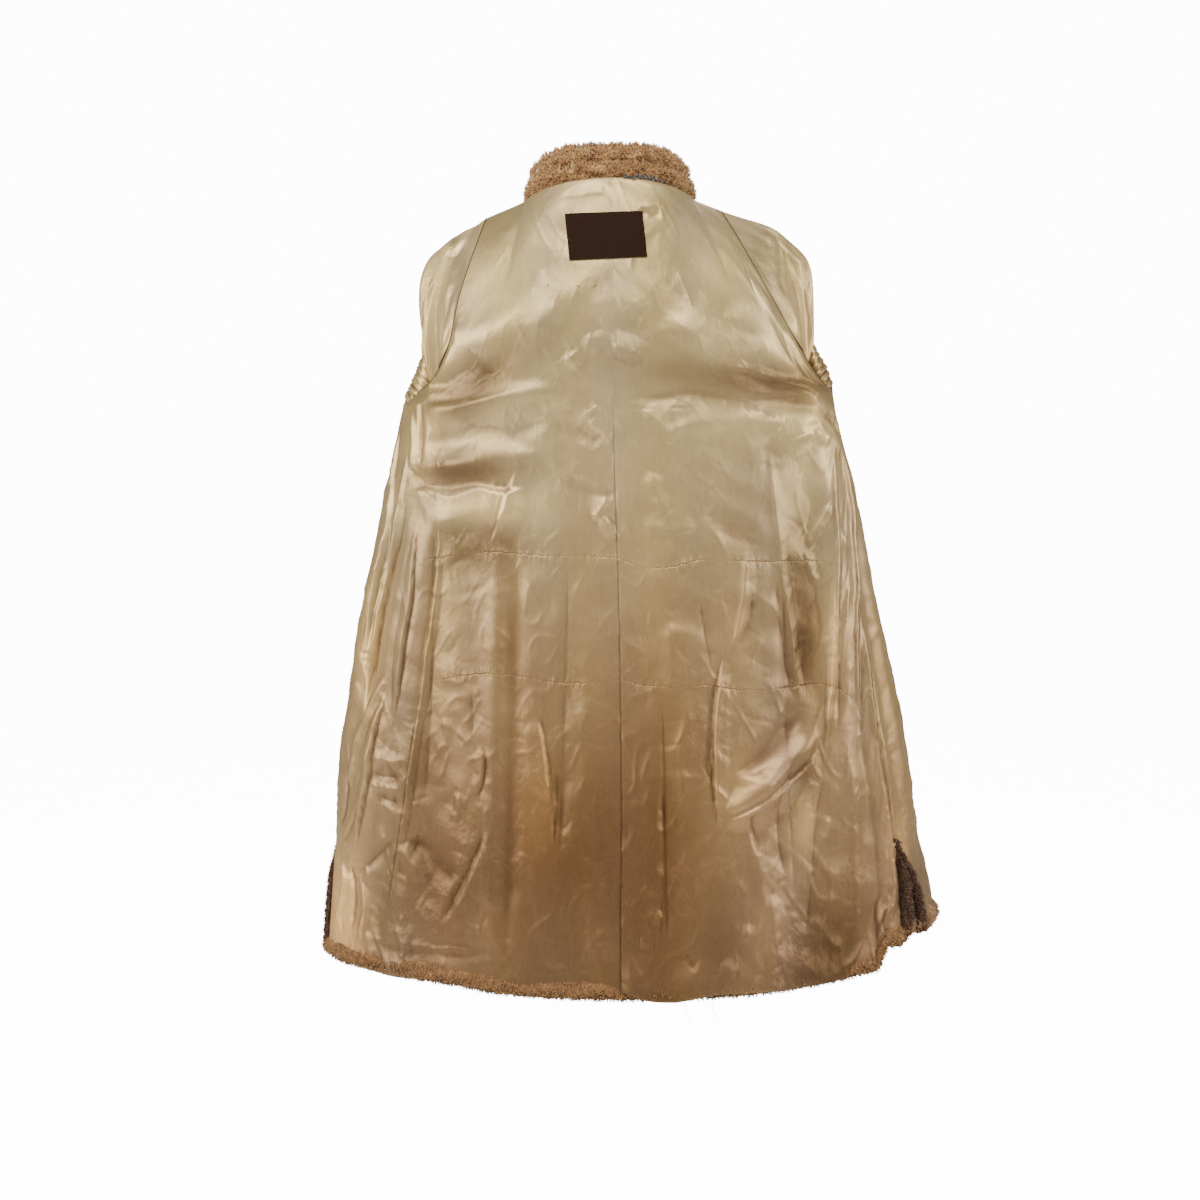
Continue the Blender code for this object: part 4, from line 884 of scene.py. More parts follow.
def add_layer(mesh, name, values):
    """A colour attribute with one value per vertex."""
    layer = mesh.color_attributes.new(name, "FLOAT_COLOR", "POINT")
    flat = values.reshape(-1, values.shape[-1])
    filled = np.concatenate((flat, np.ones((len(flat), 4 - flat.shape[1]))), axis=1)
    layer.data.foreach_set("color", np.ascontiguousarray(filled, dtype=np.float32).ravel())


def add_mesh(name, points, faces, material, colours=None, flip=False):
    points = np.ascontiguousarray(points.reshape(-1, 3), dtype=np.float32)
    if flip:
        faces = faces[:, ::-1]
    sides = faces.shape[1]
    mesh = bpy.data.meshes.new(name)
    mesh.vertices.add(len(points))
    mesh.vertices.foreach_set("co", points.ravel())
    mesh.loops.add(faces.size)
    mesh.loops.foreach_set("vertex_index", np.ascontiguousarray(faces, dtype=np.int32).ravel())
    mesh.polygons.add(len(faces))
    mesh.polygons.foreach_set("loop_start", np.arange(0, faces.size, sides, dtype=np.int32))
    mesh.polygons.foreach_set("use_smooth", np.ones(len(faces), dtype=bool))
    mesh.update(calc_edges=True)
    if colours is not None:
        add_layer(mesh, "tint", colours)
    mesh.materials.append(material)
    piece = bpy.data.objects.new(name, mesh)
    bpy.context.scene.collection.objects.link(piece)
    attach(piece, BODY)
    return piece


def stands_for(piece, node):
    """Hides the solid whose place the piece takes."""
    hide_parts(node)


def add_grid(name, points, outward, material, colours=None, closed=False):
    """A grid piece whose faces look the way of outward."""
    rows, columns = points.shape[:2]
    faces = grid_faces(rows, columns, closed)
    row, column = rows // 2, columns // 2
    way = np.cross(points[row, column] - points[row, column - 1],
                   points[row, column] - points[row - 1, column])
    flip = float(np.dot(way, outward[row, column])) < 0.0
    return add_mesh(name, points, faces, material, colours, flip)


# ---------------------------------------------------------------- satin lining

LINING_LEVEL = 0.0222       # the lining's edge on its solid
HEM_LOOSE_LEVEL = 0.16      # below this the satin hangs by its own length
BACK_LENGTH = 0.776         # metres of cloth for each level, at the back
FRONT_LENGTH = 0.755
BACK_STEP = 2.9 * MM        # between the rows of the back's satin
FRONT_STEP = 3.8 * MM
PELT_STEP = 10.0 * MM
MOST_TROUGH = 2.4 * MM      # the deepest trough in a sleeve's satin
OVERHANG_OUT = 8.5 * MM     # how far the satin that hangs below its solid stands out
HEM_SHADE = 0.50            # the fur is browner where it is turned at the hem
HEM_TUFT_ROWS = 11


def hem_drop(side, angle):
    """How much lower than its solid the lining's edge hangs, in levels."""
    return curve_through(HEM_DROPS, side * angle)[..., 0] * MM / BODY_LENGTH


def hem_angle(points):
    """About the angle that a point near the hem stands at."""
    return np.degrees(np.arctan2(np.abs(points[..., 0]), -points[..., 1] * 1.9))


def lining_colour(points, height):
    """The satin's colour with painted light and shade: pale beige at the top, bronze and darker
    towards the hem.
    """
    x, z = points[..., 0], points[..., 2]
    tone = np.clip(-z / 1.07 + 0.03 * waves(x, z, 0.30, 0.9, 11), 0.0, 1.0)
    middle, aside = (curve_through([(share, *srgb(*colour)) for share, colour in table], tone)
                     for table in (LINING_MIDDLE, LINING_SIDE))
    # Paler at the sides than in the middle: painted light
    outer = smoothstep((np.abs(x + 0.02) - 0.05) / (0.10 - 0.16 * z))[..., None]
    colour = mix(middle, aside, outer)
    bands = 0.5 + 0.5 * waves(x + 0.15 * z, z, 0.12, 1.4, 12, 7)
    gold = np.clip(bands, 0.0, 1.0)[..., None]
    colour = mix(colour, colour * (1.10, 1.05, 0.90), 0.7 * gold)
    pink = np.clip(0.5 + 0.8 * waves(x - 0.1 * z, z, 0.13, 0.9, 13, 7), 0.0, 1.0)[..., None]
    colour = mix(colour, colour * (0.98, 0.95, 1.08), 0.7 * pink)
    # Painted light: paler towards the lower right and on the left flank, then the painted patches
    # of light and shade
    lower_right = smoothstep((x - 0.04) / 0.12) * smoothstep((-z - 0.72) / 0.12)
    flank = smoothstep((-x - 0.24 + 0.10 * (z + 0.35)) / 0.06) * smoothstep((-z - 0.3) / 0.1)
    patches = 1.0 + 0.20 * lower_right + 0.26 * flank
    for across, up, half_width, half_height, lean, change in PAINTED_LIGHT_PATCHES:
        turn = math.radians(lean)
        aside, above = x - CM * across, z - CM * up
        along = (aside * math.cos(turn) + above * math.sin(turn)) / (CM * half_width)
        over = (above * math.cos(turn) - aside * math.sin(turn)) / (CM * half_height)
        patches = patches * (1.0 + change * np.exp(-along ** 2 - over ** 2))
    # Painted shade in the creases' troughs and painted highlight on their ridges
    shade = (patches * (1.0 + painted_crease_shade(height)))[..., None]
    powers = np.where(shade < 1.0, np.array(DARKER_POWERS), np.array(PALER_POWERS))
    return np.clip(colour * WHOLE_TINT * shade ** powers, 0.0, 1.0)


def painted_crease_shade(height):
    """Painted shade in sharp troughs and in the lowest hollows, and painted highlight on sharp
    ridges.
    """
    up, bend = (np.roll(height, 1, axis) + np.roll(height, -1, axis) - 2.0 * height
                for axis in (0, 1))
    beside = 0.5 * np.abs(np.roll(up, 1, 0) + np.roll(up, -1, 0))
    bend = bend + np.where(np.abs(up) > 3.0 * beside + 0.05 * MM, 0.2 * up, up)
    least = 0.2 * MM
    sharp = np.clip(np.sign(bend) * (np.abs(bend) - least) / (1.1 * MM), -1.0, 1.0)
    sharp = np.where(np.abs(bend) < least, 0.0, sharp)
    sharp = sum(share * np.roll(sharp, step, 0) for step, share in
                ((-2, 1 / 9), (-1, 2 / 9), (0, 3 / 9), (1, 2 / 9), (2, 1 / 9)))
    low = np.clip(-height / (8.0 * MM), 0.0, 1.0)
    return np.where(sharp > 0, -0.50 * sharp, -0.12 * sharp) - 0.28 * low


def turned_edge(points, normals):
    """A grid with its first row folded under, so that the edge looks thick."""
    beyond = unit(points[0] - points[2])
    lip = points[0] + beyond * 0.5 * MM - normals[0] * 0.6 * MM
    under = points[2] - normals[2] * 1.1 * MM
    return np.concatenate((under[None], lip[None], points))


def tacking_marks(cloth):
    """Per vertex: distance to the nearest row of tacking, its strength, and crumpling."""
    nearest = np.full(cloth.across.shape, FAR)
    strength = np.zeros(cloth.across.shape)
    for index, spots in enumerate(TACKING):
        line = cloth.route(spots)
        height = np.interp(cloth.across, line[:, 0], line[:, 1])
        apart = cloth.along - height
        closer = np.abs(apart) < np.abs(nearest)
        nearest = np.where(closer, apart, nearest)
        inside = (smoothstep((cloth.across - line[0, 0]) / 0.03)
                  * smoothstep((line[-1, 0] - cloth.across) / 0.03))
        uneven = waves(cloth.across, 0.0, 0.12, 1.0, 81 + index, 5)
        uneven = np.clip(0.62 + 0.55 * uneven, 0.15, 1)
        strength = np.where(closer, inside * uneven, strength)
    strength = strength * smoothstep((TACKING_REACH - np.abs(nearest)) / (5.0 * MM))
    distance = 0.5 + 0.5 * np.clip(nearest / TACKING_REACH, -1.0, 1.0)
    return np.stack((distance, strength, crumpling(cloth)), axis=-1)


def crumpling(cloth):
    """Where the satin is finely crumpled: mostly low down, in patches."""
    low = smoothstep((0.52 - cloth.along) / 0.45)
    patches = 0.5 + 0.5 * waves(cloth.across, cloth.along, 0.22, 0.20, 83, 7)
    return np.clip(0.18 + 0.55 * patches * (0.35 + 0.65 * low), 0.0, 1.0)


def plain_marks(cloth):
    far = np.ones(cloth.across.shape)
    return np.stack((far, 0.0 * far, crumpling(cloth)), axis=-1)


def creased(cloth, table, points, normals):
    """Creases a panel; gives its shape, the way it faces and the main creases' height."""
    press_table(cloth, table)
    main = cloth.height * edge_fade(cloth)
    low_waves(cloth)
    height = within_fur(cloth.height * edge_fade(cloth), points)
    shaped = cloth.points + normals * height[..., None]
    return shaped, grid_normals(shaped, normals), main


def build_lining_back():
    levels = level_rows(LINING_LEVEL, BACK_STEP)
    halves = [panel_dropped(side, False, levels, 186) for side, _ in SIDES]
    points, normals = joined(*halves)
    middle = halves[0][0].shape[1] - 1
    cloth = Cloth(points + normals * LINING_OUT, normals, middle)
    shaped, facing, main = creased(cloth, BACK_CREASES, points, normals)
    # Painted shadow under the collar, along the top of the back's satin
    collar_shadow = np.exp(-((cloth.along[-1] - cloth.along) / (2.6 * MM)) ** 2)
    colours = lining_colour(shaped, main) * (1.0 - 0.55 * collar_shadow[..., None])
    marks = tacking_marks(cloth)
    yoke = levels > 1.0
    for side, name in SIDES:
        part = slice(0, middle + 1) if side < 0 else slice(middle, None)
        half, half_colours = shaped[:, part].copy(), colours[:, part].copy()
        half_facing = facing[:, part]
        seam, armhole_edge = (0, -1) if side > 0 else (-1, 0)
        sewn = smoothstep((-half[:, seam, 2] - 0.28) / 0.10)[:, None]
        half[:, seam] += sewn * (side * 0.2 * MM, 0.0, 0.0)
        half[:, seam] -= half_facing[:, seam] * 0.5 * MM * sewn
        half_colours[:, seam] *= 1.0 - 0.45 * sewn
        half_colours[yoke, armhole_edge] *= 0.45
        seam_line(name, half[yoke], half_facing[yoke], armhole_edge)
        finish_lining("satin_back_" + name, half, half_facing, half_colours, marks[:, part],
                      "lining_back_" + name)
    return shaped, facing


def seam_line(name, points, normals, edge):
    """The pressed-in seam where the sleeve's lining is sewn on, as a narrow dark ribbon: a painted
    shadow along the seam.
    """
    inner = 2 if edge == 0 else -3
    way = unit(points[:, inner] - points[:, edge])
    lifted = points[:, edge] + normals[:, inner] * 1.0 * MM
    ribbon = np.stack([lifted + way * apart * MM for apart in (-0.9, -0.3, 0.3)], axis=1)
    ribbon[:, (0, 2)] -= normals[:, None, inner] * 0.7 * MM
    add_grid("seam_armhole_" + name, ribbon, normals[:, :3], seam_shadow)


def finish_lining(name, points, normals, colours, marks, node):
    points = turned_edge(points, normals)
    colours, marks = (np.concatenate((layer[2:3], layer[:1], layer)) for layer in (colours, marks))
    outward = np.concatenate((normals[:1], normals[:1], normals))
    piece = add_grid(name, points, outward, satin, colours)
    add_layer(piece.data, "marks", marks)
    stands_for(piece, node)


def panel_dropped(side, front, levels, columns):
    """A lining panel whose lowest part hangs by its own uneven length."""
    points, normals = panel(side, front, levels, columns, True)
    loose = smoothstep((HEM_LOOSE_LEVEL - levels) / (HEM_LOOSE_LEVEL - LINING_LEVEL))[:, None]
    angles = hem_angle(points)
    drop = hem_drop(side, angles) * loose
    height = np.where(angles < 90.0, BACK_LENGTH, FRONT_LENGTH)[..., None]
    ahead = unit(np.gradient(points, axis=0))
    points = points - ahead * (drop[..., None] * height)
    below = smoothstep((drop - 0.004) / 0.012)[..., None] * loose[..., None] ** 3
    return points + normals * OVERHANG_OUT * below, normals


def within_fur(height, points):
    """Troughs are pressed into the fur, and stop before they come out of it."""
    most = np.where(points[..., 0] < 0, fur_depth(-1, points), fur_depth(1, points)) - 0.6 * MM
    return np.where(height < 0.0, -most * np.tanh(-height / most), height)


def low_waves(cloth):
    """The soft unevenness of hanging satin, between its main creases."""
    across, along = cloth.across, cloth.along
    lower = smoothstep((0.85 - along) / 0.6)
    cloth.height += (0.4 + 1.1 * lower) * MM * waves(across, along, 0.11, 0.60, 21, 9)
    cloth.height += 0.55 * MM * waves(across, along, 0.090, 0.075, 23, 11)
    cloth.height += (0.75 + 1.1 * lower) * MM * crinkles(across, along, 17.0, 0.075, 0.26, 24)
    cloth.height += (0.55 + 0.9 * lower) * MM * crinkles(across, along, -24.0, 0.055, 0.16, 34)
    cloth.height -= (0.5 + 0.6 * lower) * MM * crinkles(across, along, 62.0, 0.045, 0.14, 44)


def crinkles(across, along, lean, size_across, size_along, seed):
    """Small sharp creases that wander and break off, leaning from the upright."""
    turn = math.radians(lean)
    aside = across * math.cos(turn) + along * math.sin(turn)
    up = along * math.cos(turn) - across * math.sin(turn)
    aside = aside + 0.12 * size_across * waves(aside, up, size_across, size_along, seed + 1, 7)
    line = waves(aside, up, size_across, size_along, seed, 7)
    broken = smoothstep(0.35 + 0.8 * waves(aside, up, 1.7 * size_across, 0.6 * size_along,
                                           seed + 2, 7))
    return (np.exp(-np.abs(line) / 0.22) - 0.2) * broken


def from_side(cloth):
    """Distance on the cloth to its nearer side edge."""
    return np.minimum(cloth.across - cloth.across[:, :1], cloth.across[:, -1:] - cloth.across)


def edge_fade(cloth):
    """Creases die away into the seams at the sides, the armholes and the neck."""
    from_top = cloth.along[-1] - cloth.along
    return smoothstep(from_side(cloth) / (12 * MM) + 0.15) * smoothstep(from_top / (10 * MM))


def build_lining_front(side, name):
    levels = level_rows(LINING_LEVEL, FRONT_STEP)
    points, normals = panel_dropped(side, True, levels, 105)
    cloth = Cloth(points + normals * LINING_OUT, normals, 0, VIEW_PLACE * (1, -1, 1),
                  -VIEW_PLANE_Y)
    shaped, facing, main = creased(cloth, FRONT_CREASES[side], points, normals)
    finish_lining("satin_front_" + name, shaped, facing, lining_colour(shaped, main),
                  plain_marks(cloth), "lining_front_" + name)


# ---------------------------------------------------------------- fur

# The fur's turn round its edge at the centre front: millimetres out of and past the edge
FRONT_WRAP = ((-5.0, 1.6), (-2.0, 2.0), (0.3, 1.0), (0.2, -6.0))

# The fur's roll at the hem: levels, and millimetres out of the seam surface
HEM_ROLL = (
    (0.030, -1.0), (0.024, 2.0), (0.018, 5.0), (0.012, 6.5), (0.006, 6.2), (0.001, 3.5),
    (-0.002, -1.0), (0.001, -5.5), (0.006, -7.6), (0.013, -8.0),
)


def fur_depth(side, points):
    """How thick the fur is: it is flattened into the armhole seam."""
    ring = np.concatenate([plain_point(side, np.full(24, angle), np.linspace(1.0, 2.0, 24), front)
                           for angle, front in ((90.0, False), (FRONT_FIRST_ANGLE, True))])
    away = np.full(points.shape[:-1], FAR)
    for spot in ring:
        away = np.minimum(away, np.linalg.norm(points - spot, axis=-1))
    return SEAM_FUR + (FUR - SEAM_FUR) * smoothstep(away / SEAM_FADE)


def fur_lifted(points, side, levels):
    """The fur's lowest part, drawn up by its own uneven length."""
    lift = curve_through(FUR_LIFTS, side * hem_angle(points)) * MM
    loose = smoothstep((HEM_LOOSE_LEVEL - levels) / 0.08)[:, None, None]
    return points + (0.0, 0.0, 1.0) * lift * loose


def fur_panel(side, front, columns):
    """A fur panel's visible skin: round the hem, then up the inside."""
    inner = level_rows(0.022, PELT_STEP)
    levels = np.concatenate(([row[0] for row in HEM_ROLL], inner))
    offsets = np.concatenate(([row[1] * MM for row in HEM_ROLL], np.full(len(inner), -FUR)))
    points, normals = panel(side, front, levels, columns, False)
    points = fur_lifted(points, side, levels)
    offset = np.where(levels[:, None] > 0.05, -fur_depth(side, points), offsets[:, None])
    return points, normals, offset


def fuzzy(points, offset, normals, seed, height=0.9 * MM):
    """Clumps in the fur, as a shape."""
    across, along = grid_lengths(points, points.shape[1] // 2, 0)
    clumps = (waves(across, along, 0.016, 0.018, seed, 12)
              + 0.6 * waves(across, along, 0.007, 0.008, seed + 1, 12))
    return points + normals * (offset + height * clumps)[..., None]


def build_fur_back():
    left, right = (fur_panel(side, False, 120) for side in (-1, 1))
    points, normals = joined(left, right)
    offset = np.concatenate((left[2], right[2][:, -2::-1]), axis=1)
    shaped = fuzzy(points, offset, normals, 31)
    add_pelt("back", shaped, normals, 33)
    return shaped, normals


def add_pelt(name, shaped, normals, seed):
    piece = add_grid("pelt_" + name, shaped, normals, fur,
                     fur_tint(shaped, seed) * hem_shade(shaped))
    stands_for(piece, "fur_" + name)


def hem_shade(points):
    """The fur is darker on the rows of its roll at the hem."""
    shade = np.where(np.arange(len(points)) < len(HEM_ROLL), HEM_SHADE, 1.0)
    return np.broadcast_to(shade[:, None, None], (*points.shape[:2], 1))


def fur_tint(points, seed):
    """Brightness of the fur at each place, as a grey."""
    x, y, z = (points[..., axis] for axis in range(3))
    tone = 0.5 + 0.25 * waves(x + y, z, 0.05, 0.03, seed, 10)
    return np.repeat(np.clip(tone, 0.0, 1.0)[..., None], 3, axis=-1)


def build_fur_front(side, name):
    """A front's fur, turned round its edge at the centre front, above the rolled hem."""
    points, normals, offset = fur_panel(side, True, 80)
    beyond = unit(points[:, -1:] - points[:, -3:-2])
    ends = np.concatenate([points[:, -1:] + normals[:, -1:] * out * MM + beyond * past * MM
                           for out, past in FRONT_WRAP], axis=1)
    shaped = fuzzy(points, offset, normals, 36 + side)
    ends[:6] = shaped[:6, -1:]
    shaped = np.concatenate((shaped, ends), axis=1)
    normals = np.concatenate((normals, np.repeat(normals[:, -1:], len(FRONT_WRAP), axis=1)),
                             axis=1)
    add_pelt("front_" + name, shaped, normals, 38)
    return shaped, normals


def build_vent_fur(side, front, name):
    """The fur that is turned over a slit's edge, as a soft closed strip."""
    levels = np.linspace(-0.004, SLIT_LEVEL + 0.004, 70)
    around = np.linspace(0.0, 2 * math.pi, 28, endpoint=False)
    share = slit_share(np.clip(levels, 0.0, SLIT_LEVEL))
    inset = SEAM_INSET + SLIT_OPEN_ANGLE * share
    band = mix(SEAM_BAND_ANGLE * 0.6, SLIT_BAND_ANGLE, share) + 0.4
    sign = 1 if front else -1
    middle = seam_angle(side, levels) + sign * (inset + 0.5 * band + 0.35 * share)
    angle = middle[:, None] + 0.5 * band[:, None] * np.cos(around)
    from_slit = np.broadcast_to(0.5 + 0.5 * sign * np.cos(around), angle.shape)
    level = levels[:, None] + 0.0 * angle
    points = plain_point(side, angle, level, front)
    normals = surface_normal(side, angle, level, front)
    swell = smoothstep(share * 3.0)[:, None]
    out = mix(1.0 * MM, 6.5 * MM, swell)
    height = np.where(np.sin(around) > 0, out * np.abs(np.sin(around)) ** 0.7,
                      -FUR * np.abs(np.sin(around)) ** 0.5)
    ends = smoothstep((levels - levels[0]) / 0.006) * smoothstep((levels[-1] - levels) / 0.02)
    height = height * np.sqrt(ends)[:, None]
    folds = fold_height(side, angle, points[..., 2])
    points = fur_lifted(points, side, levels)
    shaped = fuzzy(points, height + folds, normals, 40 + side + 3 * front, 0.6 * MM)
    # Painted shade: darker towards the slit's gap, towards the satin's edge and higher up the slit
    light = smoothstep(from_slit / 0.35) * smoothstep((1.15 - from_slit) / 0.3)
    light = light * (0.62 + 0.38 * smoothstep((0.035 - levels) / 0.03)[:, None])
    tone = fur_tint(shaped, 44) * light[..., None]
    piece = add_grid("vent_fur_" + name, shaped, normals, vent_fur, tone, True)
    return shaped, unit(shaped - shaped.mean(axis=1, keepdims=True)), light


# ---------------------------------------------------------------- sleeves

# How far each ring stands out at the shoulder, in millimetres
SLEEVE_BULGE = {-1: (0, -10, -20, -14, 0, 6, 0), 1: (0, 10, -4, -10, -8, 2, 0)}
SHOWN_COLUMNS = slice(3, 16)    # the shoulder side of a sleeve's rings


def mouth_ring(side):
    levels = 1.0 + np.arange(10) / 9.0
    rings = {}
    for front, angle, band in ((False, 90.0, -4.6), (True, FRONT_FIRST_ANGLE, 4.6)):
        edge = np.full(10, angle)
        points = plain_point(side, edge, levels, front)
        normals = surface_normal(side, edge, levels, front)
        normals[-1] = unit(np.array(SHOULDER_NORMAL) * (side, 1, 1))
        points[-1, 1] += 0.2 * MM if front else -0.2 * MM
        inside = plain_point(side, edge + band, levels, front)
        rings[front] = (points, normals, inside)
    order = [(False, row) for row in range(10)] + [(True, row) for row in range(8, 0, -1)]
    points, normals, inside = (np.array([rings[front][part][row] for front, row in order])
                               for part in range(3))
    below = np.array(0.93)
    angle = seam_angle(side, below) - SEAM_INSET
    inside[0] = plain_point(side, angle, below, False)
    points[0] = 0.5 * (rings[False][0][0] + rings[True][0][0])
    points[9] = 0.5 * (rings[False][0][9] + rings[True][0][9])
    along = np.roll(points, -1, axis=0) - np.roll(points, 1, axis=0)
    away = unit(np.cross(along, normals))
    away *= np.sign(np.sum(away * (points - inside), axis=1, keepdims=True))
    shares = np.array([row / 9.0 for front, row in order])
    signs = np.array([1.0 if front else -1.0 for front, row in order])
    return points, normals, away, shares, signs


def flat_ring(side, row, shares, signs):
    ring = dict(zip(SLEEVE_COLUMNS, row))
    low = shares < FOLD_SHARE
    turn = 0.5 * math.pi * np.where(low, shares / FOLD_SHARE,
                                    1.0 + (shares - FOLD_SHARE) / (1.0 - FOLD_SHARE))
    y = signs * ring["half_width"] * np.sin(turn)
    bulge = np.sqrt(np.maximum(1.0 - np.abs(np.sin(turn)) ** 6, 0.0))
    outward = LUMEN_HALF * bulge * np.where(turn < 0.5 * math.pi, 1, -1)
    middle = SLEEVE_CENTRE[side] + ring["shift"] - SLEEVE_BEND * y * y
    z = mix(ring["outer_z"], ring["inner_z"], turn / math.pi)
    return np.stack((side * (middle + outward), y, z), axis=-1)


def sleeve_arrays(side):
    mouth, normals, away, shares, signs = mouth_ring(side)
    first = flat_ring(side, SLEEVE_RINGS[0], shares, signs)
    near_top = smoothstep((shares - APEX_START) / (APEX_END - APEX_START))[:, None]
    away = unit(mix(away, away[9], near_top))
    fold = np.radians(FOLD_ANGLE) * (1.0 - smoothstep(shares / FOLD_END))[:, None]
    facing = np.cos(fold) * normals + np.sin(fold) * away
    heading = np.cos(fold) * away - np.sin(fold) * normals
    start = mouth + (SEAM_FUR + 0.9 * MM) * (facing - normals) + 0.6 * MM * heading
    square = smoothstep((shares - REACH_START) / (REACH_END - REACH_START))
    chord = np.linalg.norm(first - start, axis=1)
    leave, arrive = ((chord * mix(FOLD_REACH, reach, square))[:, None]
                     for reach in SLEEVE_REACH[side])
    down = np.array((0.0, 0.0, -1.0))
    rings = [start]
    for share in (0.10, 0.22, 0.40, 0.60, 0.80):
        rings.append(start * (1 - 3 * share ** 2 + 2 * share ** 3)
                     + first * (3 * share ** 2 - 2 * share ** 3)
                     + heading * leave * (share - 2 * share ** 2 + share ** 3)
                     + down * arrive * (share ** 3 - share ** 2))
    rings.append(first)
    rings.extend(flat_ring(side, row, shares, signs) for row in SLEEVE_RINGS[1:])
    points = np.array(rings)
    towards_top = smoothstep((shares - 0.42) / 0.35)
    for row, outwards in enumerate(SLEEVE_BULGE[side]):
        points[row, :, 0] += side * outwards * MM * towards_top
    along = np.roll(points, -1, axis=1) - np.roll(points, 1, axis=1)
    directions = unit(np.cross(along, np.gradient(points, axis=0)))
    if np.dot(directions[0, 9], facing[9]) < 0:
        directions = -directions
    inwards = unit(0.5 * (np.roll(points, -1, axis=1) + np.roll(points, 1, axis=1)) - points)
    at_fold = (np.abs(shares - FOLD_SHARE) < 0.08)[None, :, None]
    weight = smoothstep(0.5 * np.arange(len(points)))[:, None, None] * at_fold
    directions = unit(mix(directions, inwards, weight))
    directions[0] = facing
    return points, directions


def finer(values, times, closed=False):
    """Values with smooth steps put in between along the first axis."""
    if closed:
        values = np.concatenate((values[-2:], values, values[:3]))
    rows = np.arange(len(values))
    flat = np.concatenate((rows[:, None], values.reshape(len(values), -1)), axis=1)
    start, end = (2, len(values) - 3) if closed else (0, len(values) - 1)
    count = int(round((end - start) * times)) + (0 if closed else 1)
    places = np.linspace(start, end, count, endpoint=not closed)
    return curve_through(flat, places).reshape(count, *values.shape[1:])


def finer_across(values, times, closed=False):
    return finer(values.swapaxes(0, 1), times, closed).swapaxes(0, 1)


def build_sleeve(side, name):
    """A sleeve's pelt, and the satin of its shoulder side."""
    points, directions = sleeve_arrays(side)
    shown_points = finer_across(finer(points[:, SHOWN_COLUMNS], 9), 11)
    shown_ways = unit(finer_across(unit(finer(directions[:, SHOWN_COLUMNS], 9)), 11))
    middle = shown_points.shape[1] // 2
    cloth = Cloth(shown_points + shown_ways * LINING_OUT, shown_ways, middle)
    press_table(cloth, SLEEVE_CREASES[side])
    cloth.height += 0.5 * MM * waves(cloth.across, cloth.along, 0.05, 0.12, 61 + side, 9)
    beside = from_side(cloth)
    height = cloth.height * smoothstep(beside / (10 * MM))
    height = height * smoothstep(cloth.along / (6 * MM) + 0.1)
    height = np.where(height < 0.0, -MOST_TROUGH * np.tanh(-height / MOST_TROUGH), height)
    shaped = cloth.points + shown_ways * height[..., None]
    facing = grid_normals(shaped, shown_ways)
    colours = lining_colour(shaped, height) * (1.0, 0.985, 1.03)
    colours *= 1.0 - 0.62 * np.exp(-(beside / (1.4 * MM)) ** 2)[..., None]
    piece = add_grid("satin_sleeve_" + name, shaped, facing, satin, colours)
    add_layer(piece.data, "marks", plain_marks(cloth))
    stands_for(piece, "lining_sleeve_" + name)
    pelt_points = finer_across(finer(points, 5), 4, True)
    pelt_ways = unit(finer_across(finer(directions, 5), 4, True))
    lengths = np.linalg.norm(np.diff(pelt_points, axis=0), axis=2)
    reached = np.concatenate((np.zeros((1, lengths.shape[1])), np.cumsum(lengths, axis=0)))
    depth = SEAM_FUR + (FUR - SEAM_FUR) * smoothstep(reached / SEAM_FADE)
    outer = pelt_points - pelt_ways * np.minimum(1.7 * MM, 0.5 * depth)[..., None]
    inner = fuzzy(pelt_points, -depth, pelt_ways, 65 + side)
    rim = 0.5 * (outer[-1:] + inner[-1:]) - np.array((0.0, 0.0, 2.5 * MM))
    both = np.concatenate((outer, rim, inner[::-1]))
    ways = np.concatenate((pelt_ways, pelt_ways[-1:], -pelt_ways[::-1]))
    pelt = add_mesh("pelt_sleeve_" + name, both, grid_faces(*both.shape[:2], True), fur,
                    fur_tint(both, 66))
    stands_for(pelt, "fur_sleeve_" + name)


# Sleeve lining gathered at the underarm: millimetres across, up, and half the gather's width
BUNCHES = {
    -1: ((-252.0, -226.0, 3.0), (-256.0, -238.0, 6.0), (-257.5, -254.0, 11.0),
         (-258.5, -271.0, 16.5), (-261.5, -286.0, 19.5), (-269.0, -299.0, 17.5),
         (-281.5, -311.0, 8.0)),
    1: ((268.0, -214.0, 3.0), (272.0, -226.0, 6.5), (275.5, -241.0, 11.0),
        (279.0, -255.0, 15.0), (283.0, -269.0, 16.5), (289.5, -282.0, 14.5),
        (298.0, -293.0, 6.0)),
}
BUNCH_Y = -0.004
BUNCH_TURN = 2.5            # radians to each side of the outermost line


